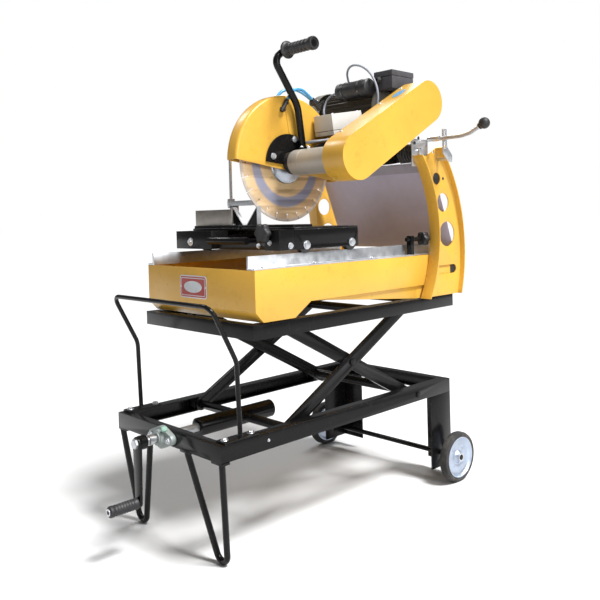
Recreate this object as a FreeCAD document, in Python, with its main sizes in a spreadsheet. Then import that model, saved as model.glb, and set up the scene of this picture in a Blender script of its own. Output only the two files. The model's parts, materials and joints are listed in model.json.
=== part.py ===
import FreeCAD
import Part
import Sketcher
import math
import os
import re

# Masonry bench saw on a scissor-lift wheeled stand. Millimetres. +X is the operator's right,
# +Y runs from the operator to the rear, +Z is up. Every size below is measured from the saw's
# datum: the blade's plane (x), the front face of the stand (y) and the floor (z). The datum is
# then moved so that the origin is the middle of the footprint, on the floor.

DIMENSIONS = {
    # where the datum lies from the origin
    "datum_x": -81.5, "datum_y": -409.4,
    # stand: a frame of C-channels that open inward
    "base_width": 484, "base_length": 918, "base_top": 312, "base_depth": 42,
    "channel_wall": 4, "side_flange": 35, "end_flange": 26,
    # hairpin front legs
    "leg_bar": 16, "leg_bend": 21.7, "leg_inner_x": 88, "leg_outer_x": 234, "leg_tip_x": 196.7,
    "leg_top_y": 9, "leg_tip_y": 47, "leg_tip_z": -72.9, "leg_pad": 44, "leg_pad_thick": 5,
    # rear legs: plates of L section that carry the axle
    "rear_leg_front": 816, "rear_leg_bottom": 37, "rear_leg_plate": 5, "rear_leg_inward": 92,
    # wheels
    "wheel_radius": 77.5, "wheel_y": 874, "wheel_outer_x": 311, "wheel_width": 30,
    "rim_radius": 63, "tyre_bore": 63.05, "rim_web": 4, "hub_radius": 14, "axle_radius": 8, "run_fit": 0.05,
    # tall hand loop in front of the stand
    "loop_bar": 12, "loop_x": 232, "loop_foot_y": 67, "loop_knee_y": 62, "loop_knee_z": 503,
    "loop_top_y": -9, "loop_top_z": 643, "loop_pad": 104,
    "loop_bolt": 40,
    # lifting screw, its bearing and its crank
    "pivot_z": 291, "screw_radius": 11, "screw_tip_y": 285, "screw_front_y": -80,
    "bearing_radius": 24, "bearing_thick": 16, "bearing_bolt_x": 41, "bearing_bolt": 7,
    "crank_throw": 150, "crank_plate": 22, "crank_thick": 8, "grip_radius": 14.5,
    "grip_length": 78, "grip_pin": 6,
    # push yoke: tube over the screw, with stub axles out to the scissor arms
    "yoke_radius": 25, "yoke_bore": 21, "yoke_front_y": 101, "yoke_rear_y": 355,
    "nut_length": 40, "cross_radius": 12.5, "roller_radius": 16.4, "roller_width": 24,
    # scissor lift: pivots in a rectangle, arms side by side
    "pivot_rear_y": 750, "pivot_front_y": 250, "table_pivot_z": 568,
    "arm_width": 38, "arm_thick": 10, "arm_outer_x": 204, "arm_gap": 3, "pin_radius": 10,
    "tie_radius": 14, "tie_offset": 26,
    # table: frame, water tray and rails
    "table_width": 498, "table_front": 104, "table_length": 832, "table_top": 587,
    "table_depth": 38,
    "tray_width": 496, "tray_front": 113, "tray_length": 815, "tray_top": 722,
    "tray_floor": 628, "tray_sheet": 2.5, "tray_chamfer_y": 138, "tray_chamfer_z": 617,
    "sump_bottom": 590, "sump_rear": 244, "sump_slope_y": 302, "rib_front": 307,
    "rib_rear": 758, "rib_low": 588, "rib_x": 240,
    "rail_x": 217, "rail_height": 34, "rail_wall": 6, "rail_foot": 30, "rail_length": 780,
    # uprights: pressed channels with both flanges towards +X
    "upright_web_right": 249.2, "upright_web_left": -297, "upright_depth": 40,
    "upright_lip": 20, "upright_sheet": 4,
    "front_low_y": 766, "front_low_z": 588, "front_mid_y": 820, "front_mid_z": 790,
    "front_high_y": 742, "front_high_z": 1031, "shoulder_y": 804,
    "rear_low_y": 962, "rear_low_z": 588, "rear_mid_y": 985, "rear_mid_z": 735,
    "rear_high_y": 868, "rear_high_z": 1066,
    "bearing_hole_y": 859, "bearing_hole_z": 962, "bearing_hole_radius": 19,
    "upper_hole_y": 890, "upper_hole_z": 886, "upper_hole_radius": 30,
    "lower_hole_y": 908, "lower_hole_z": 784, "lower_hole_radius": 40,
    "top_hole_y": 844, "top_hole_z": 1046, "top_hole_radius": 5,
    "slot_y": 860, "slot_z": 656, "slot_length": 80, "slot_height": 28,
    "sheet_low_y": 950, "sheet_low_z": 736, "sheet_top_y": 845, "sheet_top_z": 1008,
    "sheet_left": -256.5, "sheet_right": 248,
    # head pivot, return spring and lock
    "head_pivot_y": 780, "head_pivot_z": 1042, "shaft_radius": 10.9, "shaft_start": -304,
    "shaft_end": 256, "sleeve_radius": 21, "sleeve_start": -250, "sleeve_end": 165,
    "spring_wire": 8, "spring_radius": 26, "spring_start": 169, "spring_end": 243,
    "lock_y": 820, "lock_z": 1084, "lock_plate_x": 298, "lever_bar": 12, "ball_radius": 17,
    # stop on the right rail
    "stop_x": 238, "stop_y": 730, "stop_z": 773, "stop_radius": 7, "stop_front_y": 716,
    "stop_knob_y": 789,
    # cutting head
    "arbor_y": 444, "arbor_z": 1013, "blade_radius": 175, "blade_core": 2.4, "slot_depth": 22,
    "spindle_radius": 15, "spindle_start": -29, "flange_radius": 61, "flange_thick": 8,
    "nut_thick": 12, "housing_radius": 38, "housing_start": 44, "housing_end": 222,
    "seal_radius": 33, "seal_start": 24.5, "arm_left": 70, "arm_right": 150, "deck_z": 1100,
    "deck_front": 640, "deck_length": 210, "deck_left": -118, "deck_right": 132,
    "motor_y": 765, "motor_z": 1193, "motor_radius": 68, "motor_start": -118,
    "motor_end": 132, "bell_radius": 49, "bell_end": 165, "cowl_radius": 79,
    "cowl_start": -175, "cowl_length": 58, "shaft_motor": 12, "fan_start": -158,
    "capacitor_radius": 27.9, "capacitor_length": 135, "capacitor_x": -3,
    "capacitor_y": 690, "capacitor_z": 1253, "box_x": 133, "box_y": 708, "box_length": 72,
    "box_width": 104, "box_height": 57, "gland_x": 4,
    "gland_y": 736, "gland_top": 1258, "switch_x": 32, "switch_y": 541, "switch_z": 1096, "switch_wide": 80,
    "switch_long": 140, "switch_base": 13,
    "switch_lid": 50, "switch_tilt": 9, "pulley_start": 243, "pulley_end": 283, "pulley_width": 40,
    "pulley_driven": 42, "pulley_motor": 48, "belt_thick": 9,
    "guard_x": 223, "guard_depth": 81, "guard_low_radius": 65, "guard_high_radius": 63,
    "guard_wall": 2.5, "hood_radius": 204, "hood_width": 47, "hood_x": -25,
    "hood_sheet": 2.5, "hood_tilt": -8.4, "hood_edge_z": 1022,
    "handle_x": 43, "handle_y": 409, "handle_z": 1341, "handle_end": 174, "handle_bar": 21,
    "grip_long": 119, "hose_bar": 9, "cable_bar": 7,
    # cart on the rails
    "cart_front": 203, "cart_rear": 506, "cart_half": 233, "cart_bottom": 766,
    "cart_top": 818, "cart_deck": 6, "front_panel": 100, "strip_depth": 67,
    "cart_roller": 20, "slot_half": 7, "member_wide": 50,
    "roller_front_y": 305, "roller_rear_y": 480, "roller_z": 777, "axle_bolt": 6,
    "cradle_half": 58, "cradle_top": 885, "cradle_y": 305, "fence_left": -222,
    "fence_long": 182, "fence_y": 266, "fence_top": 881, "fence_low": 834,
    "clamp_x": -145, "clamp_y": 345, "clamp_z": 890, "clamp_top": 1070, "clamp_rod": 4.5,
    "clamp_reach": 134, "knob_x": 184.4, "knob_y": 185, "knob_z": 811.4,
    "knob_radius": 27.7, "knob_stud": 5,
    "plate_left": -80, "plate_low": 638, "plate_long": 125, "plate_high": 62,
}


def named(formula):
    """Point each word of a formula at its cell, so that it can be an expression."""
    return re.sub(r"[a-z]+(_[a-z]+)+", lambda word: "Dims." + word.group(), str(formula))


def value(formula):
    return float(sheet.evalExpression(named(formula)))


def bind(thing, name, formula):
    thing.setExpression(name, named(formula))


def place(thing, x, y, z, turn=None):
    thing.Placement = FreeCAD.Placement(FreeCAD.Vector(), turn or FreeCAD.Rotation())
    for letter, formula in zip("xyz", (x, y, z)):
        bind(thing, ".Placement.Base." + letter, formula)


# ---------------------------------------------------------------- shapes of one material
TURNS = {
    "X": FreeCAD.Rotation(FreeCAD.Vector(0, 1, 0), 90),
    "Y": FreeCAD.Rotation(FreeCAD.Vector(1, 0, 0), -90),
    "Z": FreeCAD.Rotation(),
}


def block(x, y, z, length, width, height, tilt=None):
    """Box from its low corner; tilt turns it about X, in degrees."""
    thing = doc.addObject("Part::Box", "Block")
    bind(thing, "Length", length)
    bind(thing, "Width", width)
    bind(thing, "Height", height)
    place(thing, x, y, z, FreeCAD.Rotation(FreeCAD.Vector(1, 0, 0), tilt) if tilt else None)
    return thing


def bar(axis, radius, length, x, y, z):
    """Round bar along a row axis, from its low end."""
    thing = doc.addObject("Part::Cylinder", "Bar")
    bind(thing, "Radius", radius)
    bind(thing, "Height", length)
    place(thing, x, y, z, TURNS[axis])
    return thing


def tube(axis, radius, bore, length, x, y, z):
    return carve(bar(axis, radius, length, x, y, z), bar(axis, bore, length, x, y, z))


def join(*things):
    thing = doc.addObject("Part::MultiFuse", "Join")
    thing.Shapes = list(things)
    return thing


def carve(base, *tools):
    thing = doc.addObject("Part::Cut", "Carve")
    thing.Base = base
    thing.Tool = tools[0] if len(tools) == 1 else join(*tools)
    return thing


def common(first, second):
    thing = doc.addObject("Part::Common", "Common")
    thing.Base = first
    thing.Tool = second
    return thing


def sketch(body, role, points):
    """Closed outline on an origin plane, each corner bound to its two formulas."""
    outline = body.newObject("Sketcher::SketchObject", "Outline")
    plane = [item for item in body.Origin.OriginFeatures if item.Role == role][0]
    outline.AttachmentSupport = [(plane, "")]
    outline.MapMode = "FlatFace"
    corners = [FreeCAD.Vector(value(u), value(v), 0) for u, v in points]
    for index, corner in enumerate(corners):
        following = corners[(index + 1) % len(corners)]
        outline.addGeometry(Part.LineSegment(corner, following), False)
    for index in range(len(corners)):
        outline.addConstraint(Sketcher.Constraint("Coincident", index, 2,
                                                  (index + 1) % len(corners), 1))
    for index, (u, v) in enumerate(points):
        for kind, formula in (("DistanceX", u), ("DistanceY", v)):
            constraint = Sketcher.Constraint(kind, -1, 1, index, 1, value(formula))
            number = outline.addConstraint(constraint)
            bind(outline, "Constraints[%d]" % number, formula)
    return outline


def side_plate(points, x, thickness):
    """Plate parallel to the YZ plane, padded from x towards +X."""
    body = doc.addObject("PartDesign::Body", "Plate")
    pad = body.newObject("PartDesign::Pad", "Pad")
    pad.Profile = sketch(body, "YZ_Plane", points)
    bind(pad, "Length", thickness)
    place(body, x, 0, 0)
    return body


def front_plate(points, y, thickness):
    """Plate parallel to the XZ plane, padded from y towards -Y."""
    body = doc.addObject("PartDesign::Body", "Plate")
    pad = body.newObject("PartDesign::Pad", "Pad")
    pad.Profile = sketch(body, "XZ_Plane", points)
    bind(pad, "Length", thickness)
    place(body, 0, y, 0)
    return body


def turned(points, x, y, z):
    """Body turned about an axis along X; points are (along, radius)."""
    body = doc.addObject("PartDesign::Body", "Turned")
    turn = body.newObject("PartDesign::Revolution", "Turn")
    turn.Profile = sketch(body, "XY_Plane", points)
    turn.ReferenceAxis = (turn.Profile[0], ["H_Axis"])
    turn.Angle = 360
    place(body, x, y, z)
    return body


def made(shape):
    """Feature for a shape that only Part's own functions make."""
    thing = doc.addObject("Part::Feature", "Made")
    thing.Shape = shape
    return thing


def points_of(route):
    return [FreeCAD.Vector(*[value(number) for number in point]) for point in route]


def bend_radius(before, corner, after, share=0.45):
    """Largest tidy bend at a corner: a share of the shorter run over the half turn."""
    first = before - corner
    second = after - corner
    half_turn = (math.pi - first.getAngle(second)) / 2
    return share * min(first.Length, second.Length) / math.tan(half_turn)


def bent_wire(points, radii):
    """Straight runs joined by tangent arcs."""
    edges = []
    start = points[0]
    for before, corner, after, radius in zip(points, points[1:], points[2:], radii):
        first = (before - corner).normalize()
        second = (after - corner).normalize()
        half = first.getAngle(second) / 2
        reach = radius / math.tan(half)
        middle = (first + second).normalize() * (radius / math.sin(half) - radius)
        arc_start = corner + first * reach
        arc_end = corner + second * reach
        if (arc_start - start).Length > 1e-6:
            edges.append(Part.LineSegment(start, arc_start).toShape())
        edges.append(Part.Arc(arc_start, corner + middle, arc_end).toShape())
        start = arc_end
    edges.append(Part.LineSegment(start, points[-1]).toShape())
    return Part.Wire(edges)


def bent_bar(route, diameter, radii=None):
    """Round bar, tube or hose along a route of straight runs and bends."""
    points = points_of(route)
    if radii is None:
        radii = [bend_radius(*points[index:index + 3]) for index in range(len(points) - 2)]
    wire = bent_wire(points, radii)
    ring = Part.Circle(points[0], points[1] - points[0], value(diameter) / 2).toShape()
    sweep = wire.makePipeShell([Part.Wire([ring])], True, True)
    volume = wire.Length * math.pi * value(diameter) ** 2 / 4
    print("bent bar: length %.0f, radii %s, volume ratio %.3f" % (
        wire.Length, [round(radius) for radius in radii], sweep.Volume / volume))
    return made(sweep)


# ---------------------------------------------------------------- nodes
nodes = []


def subpart(label, *things):
    """One node: a single shape, or a group of separate pieces, moved to the datum."""
    thing = things[0]
    if len(things) > 1 or thing.TypeId not in ("Part::Cut", "Part::MultiFuse"):
        thing = doc.addObject("Part::Compound", "Group")
        thing.Links = list(things)
    thing.Label = label
    place(thing, "datum_x", "datum_y", 0)
    nodes.append(thing)
    return thing


def bolt(axis, radius, x, y, z, length="6"):
    """Bolt head or washer-faced nut that stands on a face."""
    return bar(axis, radius, length, x, y, z)


SIDES = (("left", -1), ("right", 1))


def from_side(sign, distance, thickness=0):
    """Low x of a piece that lies at a distance from the mid-plane, on either side."""
    return distance if sign > 0 else "-(%s) - (%s)" % (distance, thickness)


def channel_frame(width, front, length, top, depth):
    """Rectangular frame of C-channels that open inward."""
    outer = block("-%s/2" % width, front, "%s - %s" % (top, depth), width, length, depth)
    opening = block("-%s/2 + side_flange" % width, "%s + end_flange" % front,
                    "%s - %s" % (top, depth), "%s - 2*side_flange" % width,
                    "%s - 2*end_flange" % length, depth)
    cavity = block("-%s/2 + channel_wall" % width, "%s + channel_wall" % front,
                   "%s - %s + channel_wall" % (top, depth), "%s - 2*channel_wall" % width,
                   "%s - 2*channel_wall" % length, "%s - 2*channel_wall" % depth)
    return carve(outer, opening, cavity)


def pivot_blocks(width, pin_z, pin, depth):
    """Block in each side channel that the fixed rear pin of the scissor turns in."""
    blocks = []
    for side, sign in SIDES:
        low_x = from_side(sign, "%s/2 - side_flange" % width, "side_flange - channel_wall")
        inside = "(%s - 2*channel_wall)" % depth
        solid = block(low_x, "pivot_rear_y - 20", "%s - %s/2" % (pin_z, inside),
                      "side_flange - channel_wall + 0.2", 40, inside)
        hole = bar("X", pin + " + run_fit", 60, low_x + " - 5", "pivot_rear_y", pin_z)
        blocks.append(carve(solid, hole))
    return blocks


# ---------------------------------------------------------------- stand
def make_stand():
    frame = channel_frame("base_width", "0", "base_length", "base_top", "base_depth")
    bearing_hole = bar("Y", "screw_radius + 2", "channel_wall + 2", 0, -1, "pivot_z")
    pivots = pivot_blocks("base_width", "pivot_z", "pin_radius", "base_depth")
    base_frame = join(carve(frame, bearing_hole), *pivots)
    legs = []
    for side, sign in SIDES:
        route = [("%d*leg_inner_x" % sign, "leg_top_y", "base_top - base_depth - leg_pad_thick"),
                 ("%d*leg_tip_x" % sign, "leg_tip_y", "leg_tip_z"),
                 ("%d*leg_outer_x" % sign, "leg_top_y",
                  "base_top - base_depth - leg_pad_thick")]
        legs.append(bent_bar(route, "leg_bar", [value("leg_bend")]))
        for x in ("leg_inner_x", "leg_outer_x - 12"):
            low_x = from_side(sign, x + " - leg_pad/2", "leg_pad")
            legs.append(block(low_x, 1, "base_top - base_depth - leg_pad_thick - 0.5",
                              "leg_pad", "end_flange - 2", "leg_pad_thick + 0.4"))
    subpart("front_legs", join(*legs[:3]), join(*legs[3:]))
    rear_legs = []
    plate_height = "base_top - base_depth - rear_leg_bottom"
    for side, sign in SIDES:
        side_wall = block(from_side(sign, "base_width/2 - rear_leg_plate", "rear_leg_plate"),
                          "rear_leg_front", "rear_leg_bottom", "rear_leg_plate",
                          "base_length - rear_leg_front", plate_height)
        rear_wall = block(from_side(sign, "base_width/2 - rear_leg_inward", "rear_leg_inward"),
                          "base_length - rear_leg_plate", "rear_leg_bottom",
                          "rear_leg_inward", "rear_leg_plate", plate_height)
        axle_hole = bar("X", "axle_radius", "rear_leg_plate + 4",
                        from_side(sign, "base_width/2 - rear_leg_plate - 2",
                                  "rear_leg_plate + 4"), "wheel_y", "wheel_radius")
        rear_legs.append(carve(join(side_wall, rear_wall), axle_hole))
    axle = bar("X", "axle_radius - 0.02", "2*wheel_outer_x + 6", "-wheel_outer_x - 3",
               "wheel_y", "wheel_radius")
    subpart("rear_legs", axle, *rear_legs)
    loop = bent_bar([("-loop_x", "loop_foot_y", "base_top + 5"),
                     ("-loop_x", "loop_knee_y", "loop_knee_z"),
                     ("-loop_x", "loop_top_y", "loop_top_z"),
                     ("loop_x", "loop_top_y", "loop_top_z"),
                     ("loop_x", "loop_knee_y", "loop_knee_z"),
                     ("loop_x", "loop_foot_y", "base_top + 5")], "loop_bar",
                    [60, 30, 30, 60])
    pads = [block(from_side(sign, "loop_x - 28", "36"), "loop_foot_y - loop_pad/2",
                  "base_top", 36, "loop_pad", 5.2) for side, sign in SIDES]
    pad_bolts = [bolt("Z", 7, "%d*(loop_x - 10)" % sign, y, "base_top + 5", 6)
                 for side, sign in SIDES
                 for y in ("loop_foot_y - loop_bolt", "loop_foot_y + loop_bolt")]
    subpart("push_handle", join(loop, *pads, *pad_bolts))
    ends = [bolt("X", 9, from_side(sign, "base_width/2", 6), "pivot_rear_y", "pivot_z")
            for side, sign in SIDES]
    subpart("lower_frame", join(base_frame, *ends))
    nuts = [bolt("Y", "bearing_bolt", x, "-bearing_thick - 6", "pivot_z")
            for x in ("-bearing_bolt_x", "bearing_bolt_x")]
    flange = join(bar("Y", "bearing_radius + 4", "bearing_thick", 0, "-bearing_thick", "pivot_z"),
                  block("-bearing_bolt_x", "-bearing_thick", "pivot_z - 11",
                        "2*bearing_bolt_x", "bearing_thick", 22),
                  bar("Y", 13, "bearing_thick", "-bearing_bolt_x", "-bearing_thick", "pivot_z"),
                  bar("Y", 13, "bearing_thick", "bearing_bolt_x", "-bearing_thick", "pivot_z"),
                  bar("Y", "bearing_radius - 5", 28, 0, -28, "pivot_z"), *nuts)
    subpart("screw_bearing", carve(flange, bar("Y", "screw_radius + run_fit", 60, 0, -40,
                                               "pivot_z")))


def make_crank():
    subpart("lead_screw", bar("Y", "screw_radius", "screw_tip_y - screw_front_y", 0,
                              "screw_front_y", "pivot_z"))
    hub = bar("Y", "screw_radius + 7", 26, 0, "screw_front_y - 4", "pivot_z")
    arm = block("-crank_plate/2", "screw_front_y - 4", "pivot_z - crank_throw",
                "crank_plate", "crank_thick", "crank_throw")
    tip = bar("Y", "crank_plate/2", "crank_thick", 0, "screw_front_y - 4",
              "pivot_z - crank_throw")
    pin = bar("Y", "grip_pin", "grip_length + 8", 0, "screw_front_y - 8 - grip_length",
              "pivot_z - crank_throw")
    socket = bar("Y", "screw_radius", 30, 0, "screw_front_y", "pivot_z")
    subpart("crank_arm", carve(join(hub, arm, tip, pin), socket))
    grip_y = "screw_front_y - 5 - grip_length"
    subpart("crank_grip", tube("Y", "grip_radius", "grip_pin + run_fit", "grip_length", 0,
                               grip_y, "pivot_z - crank_throw"))


def make_wheels():
    for side, sign in SIDES:
        low_x = from_side(sign, "wheel_outer_x - wheel_width", "wheel_width")
        tyre = turned([(0, "tyre_bore"), ("wheel_width", "tyre_bore"),
                       ("wheel_width", "wheel_radius - 5"),
                       ("wheel_width - 5", "wheel_radius"), (5, "wheel_radius"),
                       (0, "wheel_radius - 5")], low_x, "wheel_y", "wheel_radius")
        web = "wheel_width/2 + %d*8 - rim_web/2" % sign
        rim = turned([(0, "axle_radius + run_fit"),
                      ("wheel_width", "axle_radius + run_fit"),
                      ("wheel_width", "hub_radius"), (web + " + rim_web", "hub_radius"),
                      (web + " + rim_web", "rim_radius - 4"),
                      ("wheel_width", "rim_radius - 4"), ("wheel_width", "rim_radius"),
                      (0, "rim_radius"), (0, "rim_radius - 4"), (web, "rim_radius - 4"),
                      (web, "hub_radius"), (0, "hub_radius")],
                     low_x, "wheel_y", "wheel_radius")
        subpart("wheel_" + side, tyre, rim)


# ---------------------------------------------------------------- scissor lift
def arm_plate(from_y, from_z, to_y, to_z, x, hole):
    """Flat arm with round ends and a hole at each end and in the middle."""
    reach_y = value(to_y) - value(from_y)
    reach_z = value(to_z) - value(from_z)
    reach = math.hypot(reach_y, reach_z)
    tilt = math.degrees(math.atan2(reach_z, reach_y))
    half = value("arm_width") / 2
    thick = value("arm_thick")
    plate = Part.makeBox(thick, reach, 2 * half, FreeCAD.Vector(0, 0, -half))
    along_x = FreeCAD.Vector(1, 0, 0)
    for distance in (0, reach):
        plate = plate.fuse(Part.makeCylinder(half, thick, FreeCAD.Vector(0, distance, 0),
                                             along_x))
    for distance in (0, reach / 2, reach):
        plate = plate.cut(Part.makeCylinder(value(hole), thick,
                                            FreeCAD.Vector(0, distance, 0), along_x))
    plate.rotate(FreeCAD.Vector(), along_x, tilt)
    plate.translate(FreeCAD.Vector(value(x), value(from_y), value(from_z)))
    return made(plate.removeSplitter())


def make_scissor():
    inner_x = "arm_outer_x - 2*arm_thick - arm_gap"
    inner = []
    outer = []
    upper_rollers = []
    lower_rollers = []
    hole = "pin_radius + run_fit"
    for side, sign in SIDES:
        inner.append(arm_plate("pivot_rear_y", "pivot_z", "pivot_front_y", "table_pivot_z",
                               from_side(sign, inner_x, "arm_thick"), "pin_radius - 0.5"))
        outer.append(arm_plate("pivot_front_y", "pivot_z", "pivot_rear_y", "table_pivot_z",
                               from_side(sign, "arm_outer_x - arm_thick", "arm_thick"), hole))
        pin_from = inner_x
        # the inner arm's rear pin turns in the stand's channel
        rear_pin = "base_width/2 - channel_wall - 2 - (%s)" % inner_x
        inner.append(bar("X", "pin_radius", rear_pin, from_side(sign, pin_from, rear_pin),
                         "pivot_rear_y", "pivot_z"))
        # its front pin carries a roller in the table's channel
        front_pin = "table_width/2 - channel_wall - 2 - (%s)" % inner_x
        inner.append(bar("X", "pin_radius", front_pin, from_side(sign, pin_from, front_pin),
                         "pivot_front_y", "table_pivot_z"))
        centre_pin = "arm_outer_x + 3 - (%s)" % inner_x
        inner.append(bar("X", "pin_radius", centre_pin, from_side(sign, pin_from, centre_pin),
                         "(pivot_front_y + pivot_rear_y)/2", "(pivot_z + table_pivot_z)/2"))
        # the outer arm hangs the table on a pin at its rear end
        table_pin = "table_width/2 - channel_wall - 2 - arm_outer_x + arm_thick"
        outer.append(bar("X", "pin_radius + 1", table_pin,
                         from_side(sign, "arm_outer_x - arm_thick", table_pin),
                         "pivot_rear_y", "table_pivot_z"))
        upper_rollers.append(tube("X", "roller_radius - 2", hole, "roller_width",
                                  from_side(sign, "arm_outer_x + 12", "roller_width"),
                                  "pivot_front_y", "table_pivot_z"))
        lower_rollers.append(tube("X", "roller_radius", hole, "roller_width",
                                  from_side(sign, "arm_outer_x + 6", "roller_width"),
                                  "pivot_front_y", "pivot_z"))
    span = "2*(%s)" % inner_x
    rise = "(table_pivot_z - pivot_z)/(pivot_rear_y - pivot_front_y)"
    inner.append(bar("X", "tie_radius", span, "-(%s)" % inner_x,
                     "pivot_rear_y - tie_offset", "pivot_z + tie_offset*%s" % rise))
    outer_span = "2*(arm_outer_x - arm_thick)"
    outer.append(bar("X", "tie_radius", outer_span, "-arm_outer_x + arm_thick",
                     "pivot_rear_y - tie_offset - 12",
                     "table_pivot_z - (tie_offset + 12)*%s" % rise))
    subpart("inner_scissor", join(*inner))
    subpart("outer_scissor", join(*outer))
    subpart("upper_rollers", *upper_rollers)
    subpart("lower_rollers", *lower_rollers)


def make_yoke():
    axle_length = "2*(base_width/2 - channel_wall - 6)"
    cross = bar("X", "cross_radius", "2*(%s - 1)" % "(arm_outer_x - 2*arm_thick - arm_gap)",
                "-(arm_outer_x - 2*arm_thick - arm_gap) + 1", "pivot_front_y", "pivot_z")
    axle = bar("X", "pin_radius", axle_length, "-(%s)/2" % axle_length, "pivot_front_y",
               "pivot_z")
    barrel = bar("Y", "yoke_radius", "yoke_rear_y - yoke_front_y", 0, "yoke_front_y",
                 "pivot_z")
    bore = bar("Y", "yoke_bore", "yoke_rear_y - yoke_front_y + 2", 0, "yoke_front_y - 1",
               "pivot_z")
    nut = tube("Y", "yoke_bore - 0.02", "screw_radius + run_fit", "nut_length", 0,
               "yoke_front_y", "pivot_z")
    subpart("push_yoke", carve(join(barrel, cross, axle), bore), nut)


# ---------------------------------------------------------------- table
def make_table():
    frame = channel_frame("table_width", "table_front", "table_length", "table_top",
                          "table_depth")
    pivots = pivot_blocks("table_width", "table_pivot_z", "pin_radius + 1", "table_depth")
    subpart("upper_frame", join(frame, *pivots))
    subpart("water_tray", make_tray())
    rails = []
    for side, sign in SIDES:
        low_x = from_side(sign, "rail_x", "rail_wall")
        standing = block(low_x, "tray_front", "tray_top + 0.5", "rail_wall", "rail_length",
                         "rail_height")
        lying = block(from_side(sign, "rail_x", "rail_foot"), "tray_front", "tray_top + 0.5",
                      "rail_foot", "rail_length", 4)
        rails.append(join(standing, lying))
    subpart("cart_rails", make_rail_stop(), *rails)


def tray_outline(inset):
    """Side view of the tray, with its sump at the front; inset is the sheet it lies behind."""
    front = "tray_front + %s" % inset
    rear = "tray_front + tray_length - %s" % inset
    return [(front, "tray_top + %s" % inset), (front, "tray_chamfer_z + %s/2" % inset),
            ("tray_chamfer_y + %s/2" % inset, "sump_bottom + %s" % inset),
            ("sump_rear - %s/2" % inset, "sump_bottom + %s" % inset),
            ("sump_slope_y - %s/2" % inset, "tray_floor + %s" % inset),
            (rear, "tray_floor + %s" % inset), (rear, "tray_top + %s" % inset)]


def make_tray():
    shell = side_plate(tray_outline("0"), "-tray_width/2", "tray_width")
    inside = side_plate(tray_outline("tray_sheet"), "-tray_width/2 + tray_sheet",
                        "tray_width - 2*tray_sheet")
    rib = [("rib_front", "tray_floor + 1"), ("rib_rear", "rib_low"),
           ("rib_rear", "tray_floor + 1")]
    ribs = [side_plate(rib, from_side(sign, "rib_x - tray_sheet", "tray_sheet"), "tray_sheet")
            for side, sign in SIDES]
    return join(carve(shell, inside), *ribs)


def arc_edge(name):
    """Edge of an upright as one arc: its low, widest and high points."""
    low, middle, high = [FreeCAD.Vector(0, value(name + part + "_y"), value(name + part + "_z"))
                         for part in ("_low", "_mid", "_high")]
    return Part.Arc(low, middle, high).toShape()


def upright(web_x, foot):
    """Channel pressed from sheet: curved web, front and rear lips out towards +X."""
    front = arc_edge("front")
    rear = arc_edge("rear")
    shoulder = FreeCAD.Vector(0, value("shoulder_y"), value("front_high_z"))
    top = Part.makePolygon([front.Vertexes[-1].Point, shoulder, rear.Vertexes[-1].Point])
    low = Part.makePolygon([rear.Vertexes[0].Point, front.Vertexes[0].Point])
    web = Part.Face(Part.Wire([front] + top.Edges + [rear] + low.Edges))
    thickness = value("upright_sheet")
    solid = web.extrude(FreeCAD.Vector(thickness, 0, 0))
    for shift, reach in ((thickness, "upright_depth"), (-thickness, "upright_lip")):
        inner = web.copy()
        inner.translate(FreeCAD.Vector(0, shift, 0))
        solid = solid.fuse(web.cut(inner).extrude(FreeCAD.Vector(value(reach), 0, 0)))
    # only the front and rear edges are turned; the step and the foot stay open
    beyond = value("upright_depth")
    for low_y, low_z, width, height in (("shoulder_y - 30", "front_high_z - 12", 80, 60),
                                        ("front_low_y + 12", "front_low_z - 2", 178, 9)):
        opening = Part.makeBox(beyond, value(width), value(height), FreeCAD.Vector(
            thickness, value(low_y), value(low_z)))
        solid = solid.cut(opening)
    for name in ("bearing_hole", "upper_hole", "lower_hole", "top_hole"):
        hole = Part.makeCylinder(value(name + "_radius"), 3 * thickness, FreeCAD.Vector(
            -thickness, value(name + "_y"), value(name + "_z")), FreeCAD.Vector(1, 0, 0))
        solid = solid.cut(hole)
    slot = Part.makeBox(3 * thickness, value("slot_length"), value("slot_height"),
                        FreeCAD.Vector(-thickness, value("slot_y"), value("slot_z")))
    slot_end = Part.makeCylinder(value("slot_height/2"), 3 * thickness, FreeCAD.Vector(
        -thickness, value("slot_y + slot_length"), value("slot_z + slot_height/2")),
        FreeCAD.Vector(1, 0, 0))
    solid = solid.cut(slot).cut(slot_end)
    if foot:
        # packing between the web and the side of the tray
        gap = foot - value("upright_sheet")
        packing = Part.makeBox(gap, 60, 30, FreeCAD.Vector(
            thickness, value("front_low_y") + 60, value("front_low_z") + 4))
        solid = solid.fuse(packing)
    solid.translate(FreeCAD.Vector(value(web_x), 0, 0))
    return made(solid.removeSplitter())


def make_uprights():
    subpart("upright_right", upright("upright_web_right", 0))
    subpart("upright_left", upright("upright_web_left", value(
        "-tray_width/2 - upright_web_left - 0.2")))
    screen = [("sheet_low_y", "sheet_low_z"), ("sheet_low_y + 2", "sheet_low_z + 1"),
              ("sheet_top_y + 2", "sheet_top_z + 1"), ("sheet_top_y", "sheet_top_z")]
    subpart("splash_screen", side_plate(screen, "sheet_left", "sheet_right - sheet_left"))
    # the shaft lies on the steps of the two uprights and is clamped by a plate on each
    shaft = bar("X", "shaft_radius", "shaft_end - shaft_start", "shaft_start",
                "head_pivot_y", "head_pivot_z")
    plates = []
    for low_x in ("upright_web_right - 5.2", "upright_web_left - 5.2"):
        plate = block(low_x, "head_pivot_y - 38", "head_pivot_z - 44", 5, 80, 86)
        plates.append(carve(plate, bar("X", "shaft_radius + 0.05", 10, low_x + " - 2",
                                       "head_pivot_y", "head_pivot_z")))
    subpart("pivot_shaft", shaft, *plates)
    subpart("torsion_spring", make_spring())


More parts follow.
